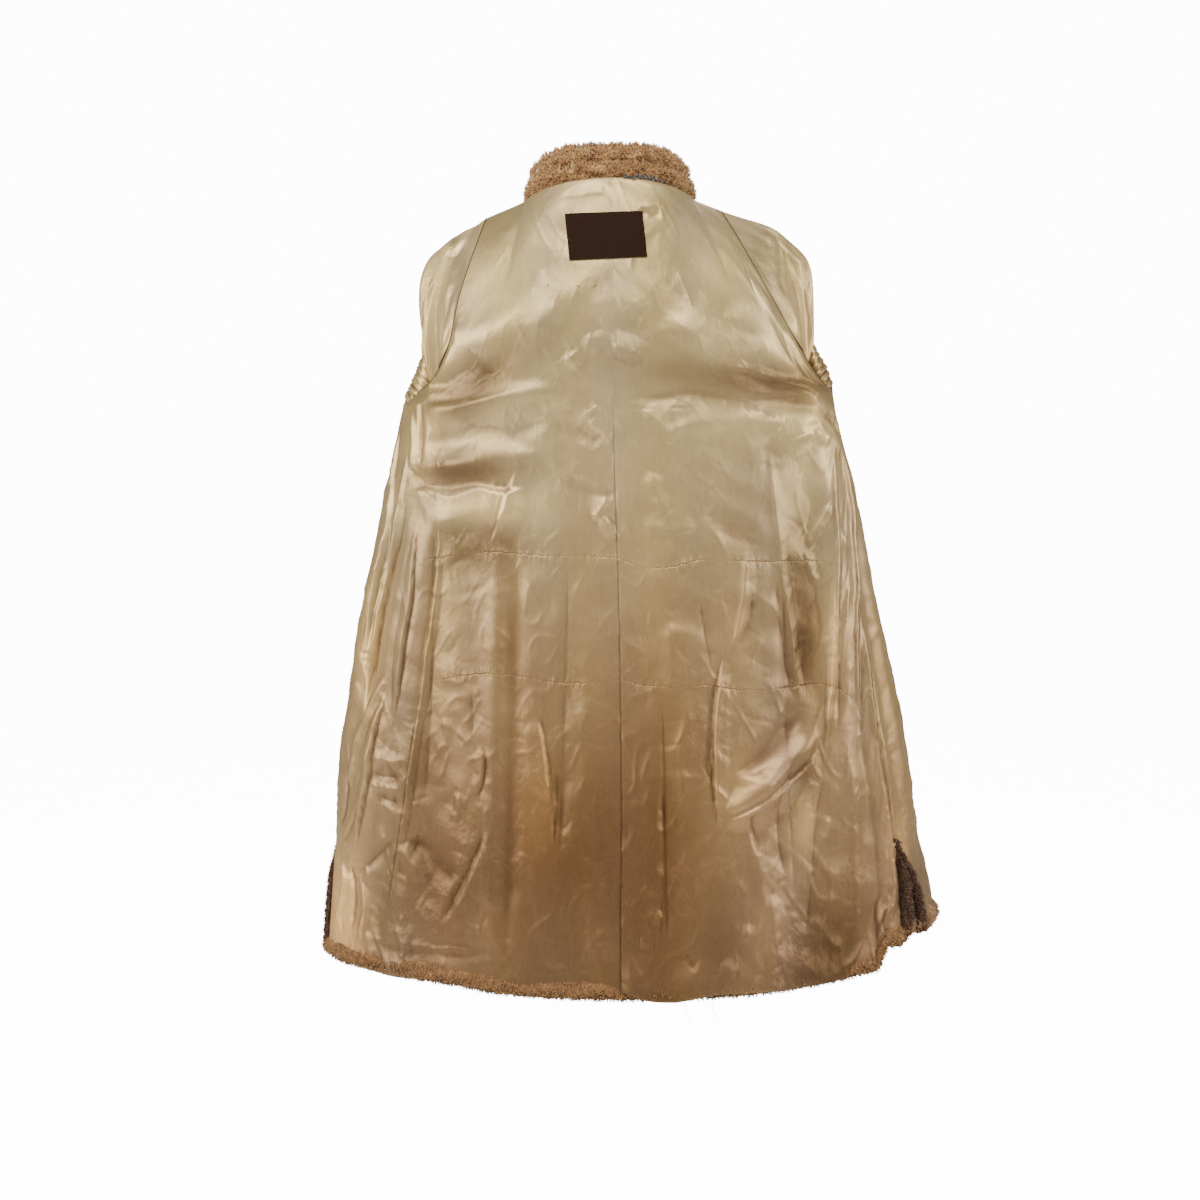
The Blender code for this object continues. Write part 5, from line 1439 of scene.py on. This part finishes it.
def build_bunch(side, name):
    rows = [(index, *row) for index, row in enumerate(BUNCHES[side])]
    path = curve_through(rows, np.linspace(0, len(rows) - 1, 72)) * MM
    x, z, half_width = path[:, :1], path[:, 1:2], path[:, 2:]
    around = np.linspace(-BUNCH_TURN, BUNCH_TURN, 56)
    reach = half_width * np.cos(around)
    slant = z - 0.55 * reach
    uneven = waves(slant, 0.02 * around, 0.012, 0.05, 91 + side, 9)
    gathers = np.sin(slant / 0.0017 + 1.3 * uneven)
    lift = 1.1 * MM * gathers * np.clip(half_width / 0.012, 0.0, 1.0)
    points = np.stack((x + side * (reach + lift * np.cos(around)),
                       BUNCH_Y - (0.016 + 0.9 * half_width + lift) * np.sin(around),
                       z + 0.25 * reach), axis=-1)
    middle = np.stack((x, BUNCH_Y + 0.0 * x, z), axis=-1)
    # Painted shade in the gathers' folds, stronger low on the bunch
    low = smoothstep((-points[..., 2] - (0.262, 0.245)[side > 0]) / 0.02)
    gather_shade = np.clip(-0.2 - gathers, 0.0, 0.8) * (0.35 + 0.65 * low)
    colours = lining_colour(points, 0.0 * gathers) * (1.0 - 0.95 * gather_shade[..., None])
    piece = add_grid("satin_bunch_" + name, points, points - middle, satin, colours)
    marks = np.zeros((*points.shape[:2], 3)) + (1.0, 0.0, 0.3)
    add_layer(piece.data, "marks", marks)


# ---------------------------------------------------------------- collar

COLLAR_ROUNDING = 9.0 * MM


def collar_base(share):
    """The neck seam: share runs from the centre front round the left side, back to it."""
    neck_x, neck_z = (np.where(share < 0.5, *pair) for pair in zip(NECK[-1], NECK[1]))
    turn = np.abs(share - 0.5) * 2.0 * math.pi
    front = turn > 0.5 * math.pi
    depth = np.where(front, NECK_FRONT[0], NECK_BACK[0])
    middle_z = np.where(front, NECK_FRONT[1], NECK_BACK[1])
    return np.stack((neck_x * np.sin(turn), -depth * np.cos(turn),
                     mix(neck_z, middle_z, np.abs(np.cos(turn)) ** NECK_POWER)), axis=-1)


def build_collar():
    stations = np.linspace(COLLAR_END_GAP, 1.0 - COLLAR_END_GAP, 230)
    base = collar_base(stations)
    ahead = collar_base(stations + 0.004) - collar_base(stations - 0.004)
    outward = unit(np.stack((ahead[:, 1], -ahead[:, 0], 0.0 * ahead[:, 0]), axis=-1))
    turn = np.abs(stations - 0.5) * 2.0 * math.pi
    top = np.where(turn < 0.5 * math.pi,
                   mix(COLLAR_TOP_SIDE, COLLAR_TOP_BACK, np.cos(turn)),
                   mix(COLLAR_TOP_SIDE, COLLAR_TOP_FRONT, np.abs(np.cos(turn))))
    top = top - 4.0 * MM - COLLAR_ROUNDING * smoothstep((np.abs(base[:, 0]) - 0.055) / 0.06)
    bottom = base[:, 2] + 2.4 * MM
    heights = np.linspace(0.0, 1.0, 22)
    profile = curve_through(COLLAR_ROLLS, heights)
    shares = np.concatenate((heights, (1.03,), heights[::-1]))
    offsets = np.concatenate((profile[:, 0] - 2.5 * MM, (-20.0 * MM,),
                              profile[::-1, 1] + 1.0 * MM))
    low = bottom[:, None] - 5.0 * MM
    rise = mix(low, top[:, None], shares) - base[:, None, 2]
    points = (base[:, None] + outward[:, None] * offsets[:, None]
              + rise[..., None] * np.array((0.0, 0.0, 1.0)))
    middle = points.mean(axis=1, keepdims=True)
    ways = unit(np.gradient(points, axis=1))
    normals = unit(np.cross(ways, ahead[:, None]))
    normals *= np.sign(np.sum(normals * (points - middle), axis=(1, 2), keepdims=True))
    across, along = grid_lengths(points, 0, 0)
    crevices = np.exp(-np.abs(waves(along * 0.6, across, 0.016, 0.020, 54, 8)) / 0.25)
    crevices = crevices * smoothstep(0.5 + waves(along, across, 0.03, 0.03, 57, 6))
    crease = np.exp(-((shares - 0.56 - 0.02 * np.sin(stations[:, None] * 37.0)) / 0.035) ** 2)
    crease[:, len(heights):] = 0.0
    crease = crease * (0.4 + 0.6 * smoothstep((stations[:, None] - 0.42) / 0.1))
    hollow = np.clip(0.9 * crevices + 0.8 * crease, 0.0, 1.0)
    shaped = fuzzy(points, -hollow * 2.6 * MM, normals, 51, 0.9 * MM)
    # Painted shade in the fur's crevices and in the collar's fold; the same painted shade is
    # passed on to the tufts
    tone = fur_tint(shaped, 52) * (1.0 - 0.75 * hollow)[..., None]
    stands_for(add_grid("pelt_collar", shaped, normals, fur, tone, True), "fur_collar")
    return shaped, normals, 1.0 - 0.7 * hollow


# ---------------------------------------------------------------- tufts

def plant_tufts(name, roots, ways, lengths, width, material, tints):
    """Short bent tufts of fur: three-sided cones with a bend half way."""
    count = len(roots)
    helper = np.where(np.abs(ways[:, 2:3]) < 0.9, (0.0, 0.0, 1.0), (1.0, 0.0, 0.0))
    across = unit(np.cross(ways, helper))
    aside = np.cross(ways, across)
    draw = np.random.RandomState(len(name) * 7 + count)
    bend = draw.uniform(-0.35, 0.35, (count, 2))
    leaning = across * bend[:, :1] + aside * bend[:, 1:]
    levels = []
    for share, size in ((-0.15, 1.0), (0.5, 0.8)):
        middle = (roots + ways * (lengths * share)[:, None]
                  + leaning * (lengths * max(share, 0) ** 2)[:, None])
        for corner in range(3):
            angle = 2 * math.pi * corner / 3
            levels.append(middle + (across * math.cos(angle) + aside * math.sin(angle))
                          * (width * size)[:, None])
    levels.append(roots + (ways + leaning) * lengths[:, None])
    points = np.stack(levels, axis=1)
    triangles = []
    for corner in range(3):
        after = (corner + 1) % 3
        triangles += [(corner, after, 3 + after), (corner, 3 + after, 3 + corner),
                      (3 + corner, 3 + after, 6)]
    faces = (np.arange(count)[:, None, None] * 7 + np.array(triangles)).reshape(-1, 3)
    shade = np.array((0.05, 0.05, 0.05, 0.55, 0.55, 0.55, 1.0))
    colours = np.clip(tints[:, None] * 0.5 + shade * 0.5, 0.0, 1.0)
    colours = np.repeat(colours[..., None], 3, axis=-1)
    add_mesh(name, points, faces, material, colours)


def tufts_on(name, points, normals, count, length, material, seed, lean, light,
             clump_size=0.013):
    """Tufts scattered over a grid, leaning the way of lean, in clumps."""
    draw = np.random.RandomState(seed)
    rows, columns = points.shape[:2]
    areas = np.linalg.norm(np.cross(points[1:, :-1] - points[:-1, :-1],
                                    points[:-1, 1:] - points[:-1, :-1]), axis=2)
    chosen = draw.choice(areas.size, count, p=areas.ravel() / areas.sum())
    row, column = np.unravel_index(chosen, areas.shape)
    along, across = draw.uniform(0, 1, (2, count, 1))

    def place(values):
        return mix(mix(values[row, column], values[row, column + 1], across),
                   mix(values[row + 1, column], values[row + 1, column + 1], across), along)

    roots = place(points)
    facing = unit(place(normals))
    clump = np.stack([waves(roots[:, 0] + roots[:, 1], roots[:, 2], clump_size, clump_size,
                            seed + axis, 9)
                      for axis in range(3)], axis=-1)
    ways = unit(facing + np.array(lean) + 0.38 * clump + draw.normal(0, 0.20, (count, 3)))
    below = np.sum(ways * facing, axis=1, keepdims=True) < 0.25
    ways = np.where(below, unit(ways + facing * 0.7), ways)
    lengths = length * draw.uniform(0.6, 1.2, count)
    width = 0.75 * MM * draw.uniform(0.7, 1.3, count)
    tints = np.clip(0.55 + 0.25 * clump[:, 0] + draw.normal(0, 0.16, count), 0.0, 1.0)
    plant_tufts(name, roots, ways, lengths, width, material, tints * light[row, column])


# ---------------------------------------------------------------- materials

class Look:
    """The nodes of a material or of the world."""

    def __init__(self, owner, shader="Principled BSDF", **inputs):
        owner.use_nodes = True
        self.owner = owner
        self.tree = owner.node_tree
        self.shader = self.tree.nodes[shader]
        self.fill(self.shader, inputs)

    def fill(self, node, inputs):
        """Links a node's inputs to other nodes' outputs, or gives them a value."""
        for name, value in inputs.items():
            if isinstance(value, bpy.types.NodeSocket):
                self.tree.links.new(value, node.inputs[name])
            else:
                node.inputs[name].default_value = value

    def add(self, kind, output, inputs, **settings):
        node = self.tree.nodes.new("ShaderNode" + kind)
        for name, value in settings.items():
            setattr(node, name, value)
        self.fill(node, inputs)
        return node.outputs[output]

    def attribute(self, name, output="Color"):
        return self.add("Attribute", output, {}, attribute_name=name)

    def noise(self, scale, detail=3.0, stretch=(1.0, 1.0, 1.0), rough=0.55):
        place = self.add("TexCoord", "Object", {})
        place = self.add("Mapping", "Vector", {"Vector": place, "Scale": stretch})
        return self.add("TexNoise", "Fac", {"Vector": place, "Scale": scale, "Detail": detail,
                                            "Roughness": rough})

    def ramp(self, source, *stops):
        """Colours for the source's values, from stops of a value and a colour."""
        ramp = self.tree.nodes.new("ShaderNodeValToRGB")
        elements = ramp.color_ramp.elements
        while len(elements) < len(stops):
            elements.new(0.5)
        for element, (place, colour) in zip(elements, stops):
            element.position = place
            element.color = (*colour, 1.0)
        self.fill(ramp, {"Fac": source})
        return ramp.outputs["Color"]

    def times(self, *colours):
        """Colours multiplied with each other."""
        product = colours[0]
        for colour in colours[1:]:
            product = self.add("Mix", 2, {"Factor": 1.0, 6: product, 7: colour},
                               data_type="RGBA", blend_type="MULTIPLY")
        return product

    def maths(self, operation, first, second=0.0):
        return self.add("Math", "Value", {0: first, 1: second}, operation=operation)

    def fade(self, source, end):
        """1 where the source is 0, and smoothly down to 0 where it is end."""
        return self.add("MapRange", "Result",
                        {"Value": source, "From Max": end, "To Min": 1.0, "To Max": 0.0},
                        interpolation_type="SMOOTHSTEP")

    def bump(self, height, strength, distance, **under):
        return self.add("Bump", "Normal", {"Height": height, "Strength": strength,
                                           "Distance": distance, **under})


def material_look(name, roughness):
    return Look(bpy.data.materials.new(name), Roughness=roughness)


def satin_material():
    """Satin whose marks give the distance to a row of tacking, its strength and crumpling."""
    look = material_look("satin", 0.50)
    marks = look.attribute("marks")
    across, stitched, crumpled = (look.add("SeparateColor", part, {"Color": marks})
                                  for part in ("Red", "Green", "Blue"))
    signed = look.maths("SUBTRACT", across, 0.5)
    zigzag = look.maths("MULTIPLY", look.noise(130.0, 2.0, (1.0, 1.0, 0.25), 0.5), 0.16)
    signed = look.maths("ADD", signed, look.maths("SUBTRACT", zigzag, 0.08))
    apart = look.maths("ABSOLUTE", signed)
    line = look.maths("MULTIPLY", look.fade(apart, 0.045), stitched)

    threads = look.noise(900.0, 2.0, (1.0, 1.0, 0.03))
    slubs = look.noise(210.0, 3.0, (1.0, 1.0, 0.05))
    stain = look.noise(9.0, 4.0, (1.0, 1.0, 0.5))
    # The tacking's line is darkened in the colour: painted shade where the satin puckers
    colour = look.times(
        look.attribute("tint"),
        look.ramp(slubs, (0.30, (0.95, 0.945, 0.935)), (0.70, WHITE)),
        look.ramp(threads, (0.30, (0.95, 0.945, 0.94)), (0.70, WHITE)),
        look.ramp(stain, (0.35, (0.90, 0.87, 0.82)), (0.62, WHITE)),
        look.ramp(line, (0.0, WHITE), (1.0, (0.62, 0.56, 0.50))))

    crumple = look.noise(42.0, 5.0, (1.0, 1.0, 0.75))
    finer_crumple = look.maths("MULTIPLY", look.noise(120.0, 4.0, (1.0, 1.0, 0.6)), 0.3)
    crumple = look.maths("ADD", crumple, finer_crumple)
    pucker = look.maths("SUBTRACT", look.noise(120.0, 3.0, (1.0, 1.0, 0.30), 0.5), 0.5)
    zone = look.maths("MULTIPLY", look.fade(apart, 0.30), stitched)
    puckered = look.maths("MULTIPLY", pucker, zone)
    puckered = look.maths("ADD", puckered, look.maths("MULTIPLY", line, -0.12))
    normal = look.bump(slubs, 0.08, 0.0005)
    normal = look.bump(look.maths("MULTIPLY", crumple, crumpled), 0.75, 0.0050, Normal=normal)
    normal = look.bump(puckered, 1.0, 0.0046, Normal=normal)
    look.fill(look.shader, {
        "Base Color": colour, "Normal": normal, "Metallic": 0.75, "Anisotropic": 0.5,
        "Specular IOR Level": 0.5, "Specular Tint": (1.0, 0.93, 0.78, 1.0),
        "Sheen Weight": 0.12, "Sheen Roughness": 0.35, "Sheen Tint": (1.0, 0.90, 0.68, 1.0)})
    return look.owner


def fur_material(name, dark, middle, light):
    look = material_look(name, 0.85)
    grain = look.noise(380.0, 4.0)
    patch = look.noise(60.0, 4.0)
    colour = look.times(
        look.ramp(look.attribute("tint", "Fac"), (0.05, dark), (0.45, middle), (0.95, light)),
        look.ramp(grain, (0.32, (0.62, 0.58, 0.55)), (0.62, WHITE)),
        look.ramp(patch, (0.30, (0.80, 0.76, 0.72)), (0.65, WHITE)))
    look.fill(look.shader, {"Base Color": colour, "Normal": look.bump(grain, 0.8, 0.0015),
                            "Sheen Weight": 0.25, "Specular IOR Level": 0.2})
    return look.owner


def cloth_material(name, colour, roughness, scale, gloss=0.3):
    look = material_look(name, roughness)
    weave = look.noise(scale)
    tinted = look.ramp(weave, (0.3, 0.72 * colour), (0.7, colour))
    look.fill(look.shader, {"Base Color": tinted, "Normal": look.bump(weave, 0.5, 0.0006),
                            "Specular IOR Level": gloss})
    return look.owner


satin = satin_material()
fur = fur_material("sheared_fur", srgb(82, 50, 32), srgb(170, 130, 91), srgb(226, 190, 145))
vent_fur = fur_material("vent_fur_brown", srgb(34, 17, 10), srgb(84, 50, 32), srgb(136, 94, 64))
label_cloth = cloth_material("label_cloth", srgb(34, 17, 11), 0.85, 900.0, 0.12)
seam_shadow = cloth_material("seam_shadow", srgb(74, 58, 44), 0.9, 700.0, 0.1)
pale_thread = cloth_material("pale_thread", srgb(130, 140, 150), 0.7, 1500.0)
interlining = cloth_material("interlining", srgb(64, 72, 84), 0.8, 700.0, 0.1)

# ---------------------------------------------------------------- the coat

back_points, back_facing = build_lining_back()
for side, name in SIDES:
    build_lining_front(side, name)
pelt_back = build_fur_back()
pelt_fronts = [build_fur_front(side, name) for side, name in SIDES]
for side, name in SIDES:
    build_sleeve(side, name)
for side, name in SIDES:
    build_bunch(side, name)
collar_points, collar_normals, collar_light = build_collar()
vents = [(f"{name}_{part}", side + 2 * front, build_vent_fur(side, front, f"{name}_{part}"))
         for side, name in SIDES for front, part in ((False, "back"), (True, "front"))]


def hem_tufts(name, grids, count, seed):
    points, normals = (grid[:HEM_TUFT_ROWS] for grid in grids)
    tufts_on("tufts_hem_" + name, points, normals, count, 5.5 * MM, fur, seed,
             (0.0, 0.0, -0.9), hem_shade(points)[..., 0])


hem_tufts("back", pelt_back, 8000, 71)
for grids, (_, name) in zip(pelt_fronts, SIDES):
    hem_tufts("front_" + name, grids, 2600, 73)
tufts_on("tufts_collar", collar_points, collar_normals, 15500, 6.5 * MM, fur, 75,
         (0.0, 0.0, 0.15), collar_light, clump_size=0.018)
for name, turn, (points, normals, light) in vents:
    tufts_on("tufts_vent_" + name, points, normals, 1600, 5.0 * MM, vent_fur, 77 + turn,
             (0.0, 0.0, -0.5), light)

# ---------------------------------------------------------------- label

back_tree = BVHTree.FromPolygons([tuple(point) for point in back_points.reshape(-1, 3)],
                                 grid_faces(*back_points.shape[:2]).tolist())


def on_back(x, z, lift):
    """The spot on the back's satin at x and z, lifted off it."""
    hit, normal, _, _ = back_tree.ray_cast(Vector((x, -1.0, z)), Vector((0, 1, 0)))
    if normal.y > 0:
        normal = -normal
    return np.array(hit + normal * lift)


# How far the label's corners are pulled, in millimetres: its column end, row end, across and up
LABEL_SKEW = ((0, 1, -1.7, -4.0), (1, 1, -7.0, 2.6), (1, 0, 1.0, 4.8), (0, 0, 6.0, -2.6))


def label_spot(share_x, share_z):
    """Where a place on the label lies on the back's satin."""
    across = (share_x - 0.5) * LABEL_WIDTH
    up = (share_z - 0.5) * LABEL_HEIGHT
    for corner_x, corner_z, moved_x, moved_z in LABEL_SKEW:
        weight = abs(1 - corner_x - share_x) * abs(1 - corner_z - share_z)
        across += weight * moved_x * MM
        up += weight * moved_z * MM
    tilt = math.radians(LABEL_TILT)
    return on_back(LABEL_X + across * math.cos(tilt) - up * math.sin(tilt),
                   LABEL_Z + across * math.sin(tilt) + up * math.cos(tilt), 1.5 * MM)


label_points = np.array([[label_spot(share_x, share_z) for share_x in np.linspace(0, 1, 44)]
                         for share_z in np.linspace(0, 1, 28)])
label_way = np.zeros_like(label_points) + (0.0, -1.0, 0.3)
stands_for(add_grid("bare_label", label_points, label_way, label_cloth), "label")

# ---------------------------------------------------------------- threads and the torn neck

THREAD = 0.7 * MM


def on_edge(row, x, lift):
    """The spot on the back's first or last row that is nearest to x, lifted off it."""
    column = int(np.argmin(np.abs(back_points[row, :, 0] - x)))
    return back_points[row, column] + back_facing[row, column] * lift


def add_thread(name, spots, material, thick):
    """A thread along spots, as a round curve."""
    curve = bpy.data.curves.new(name, "CURVE")
    curve.dimensions = "3D"
    curve.bevel_depth = 0.5 * thick
    curve.bevel_resolution = 1
    line = curve.splines.new("POLY")
    line.points.add(len(spots) - 1)
    for point, spot in zip(line.points, spots):
        point.co = (*spot, 1.0)
    piece = bpy.data.objects.new(name, curve)
    bpy.context.scene.collection.objects.link(piece)
    curve.materials.append(material)
    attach(piece, "root")
    return piece


def hem_thread(name, x, lean, length):
    """A loose thread hanging from the satin's lower edge."""
    share = np.linspace(0.0, 1.0, 14)[:, None]
    spots = (on_edge(0, x, 0.8 * MM) + share * (lean, -0.006, -length)
             + np.sin(share * 9.0) * (0.0016, 0.0006, 0.0))
    piece = add_thread(name, spots, pale_thread, THREAD)


hem_thread("loose_thread_1", 0.0933, 0.010, 0.030)
hem_thread("loose_thread_2", 0.1306, 0.004, 0.028)
# Stray stitches beside the label: place, width and rise
STITCHES = ((-0.0864, -0.144, 0.0030, 0.0040), (-0.0466, -0.1455, 0.0060, -0.0006),
            (-0.024, -0.1455, 0.0046, 0.0010), (-0.0995, -0.1440, 0.0006, 0.0034))
for index, (x, z, width, rise) in enumerate(STITCHES):
    spots = [on_back(x + width * (share - 0.5), z + rise * (share - 0.5),
                     (0.2 + 0.5 * math.sin(math.pi * share)) * MM)
             for share in np.linspace(0.0, 1.0, 6)]
    add_thread(f"stray_stitch_{index}", spots, interlining, 0.6 * MM)

# Interlining that shows where the lining is torn from the neck
tear = []
for index, x in enumerate(np.linspace(0.014, 0.074, 90)):
    foot = on_edge(-1, x, 1.6 * MM)
    foot[0] = x
    ragged = float(waves(np.array(x), np.array(0.0), 0.004, 0.02, 88, 9))
    high = 1.6 + 2.2 * math.sin(math.pi * index / 89.0) ** 0.5 + 1.5 * ragged
    tear.append([foot + np.array(place) * MM
                 for place in ((0.0, -0.6, -1.2), (0.0, -1.0, 0.5 * high), (0.0, -0.6, high))])
add_grid("torn_interlining", np.array(tear), np.zeros((90, 3, 3)) + (0.0, -1.0, 0.3),
         interlining)

# ---------------------------------------------------------------- stage, light and camera

FLOOR_Z = -1.47
FLOOR_GLOW = 13.5           # the stage is plain white to the camera
BACKDROP_GLOW = 14.0
FILL_LIGHT = 0.08           # what the world adds to the lights
WARM = (1.0, 0.94, 0.74)

bpy.ops.mesh.primitive_plane_add(size=60.0, location=(0.0, 0.0, FLOOR_Z))
floor = bpy.context.object
floor.name = "floor"
paper = material_look("floor_paper", 0.9)
seen = paper.add("LightPath", "Is Camera Ray", {})
paper.fill(paper.shader, {"Base Color": (0.86, 0.86, 0.86, 1.0),
                          "Emission Color": (1.0, 1.0, 1.0, 1.0),
                          "Emission Strength": paper.maths("MULTIPLY", seen, FLOOR_GLOW)})
floor.data.materials.append(paper.owner)

world = bpy.data.worlds.new("studio")
studio = Look(world, "Background", Color=(1.0, 0.985, 1.0, 1.0))
seen = studio.add("LightPath", "Is Camera Ray", {})
studio.fill(studio.shader, {"Strength": studio.add("MapRange", "Result", {
    "Value": seen, "To Min": FILL_LIGHT, "To Max": BACKDROP_GLOW})})
bpy.context.scene.world = world


def add_light(name, place, target, size, power, colour=WHITE):
    data = bpy.data.lights.new(name, "AREA")
    data.shape = "RECTANGLE"
    data.size, data.size_y = size
    data.energy = power
    data.color = colour
    light = bpy.data.objects.new(name, data)
    light.location = place
    way = Vector(target) - Vector(place)
    light.rotation_euler = way.to_track_quat("-Z", "Y").to_euler()
    bpy.context.scene.collection.objects.link(light)


add_light("left", (-2.5, -1.7, 0.4), (0.0, 0.0, -0.45), (0.8, 1.6), 106.0, WARM)
add_light("right", (2.7, -1.2, 0.3), (0.0, 0.0, -0.50), (0.7, 1.6), 82.0, WARM)
add_light("top", (-0.3, -1.7, 2.2), (0.0, 0.0, -0.1), (1.4, 0.6), 122.0, WARM)
add_light("behind", (0.3, 2.6, 1.4), (0.0, 0.0, -0.5), (1.6, 1.4), 50.0)

camera_data = bpy.data.cameras.new("view")
camera_data.sensor_width = 36.0
camera_data.lens = VIEW_LENS
camera = bpy.data.objects.new("view", camera_data)
camera.location = tuple(VIEW_PLACE)
camera.rotation_euler = (math.radians(90.0 - VIEW_TILT), 0.0, 0.0)
bpy.context.scene.collection.objects.link(camera)
bpy.context.scene.camera = camera
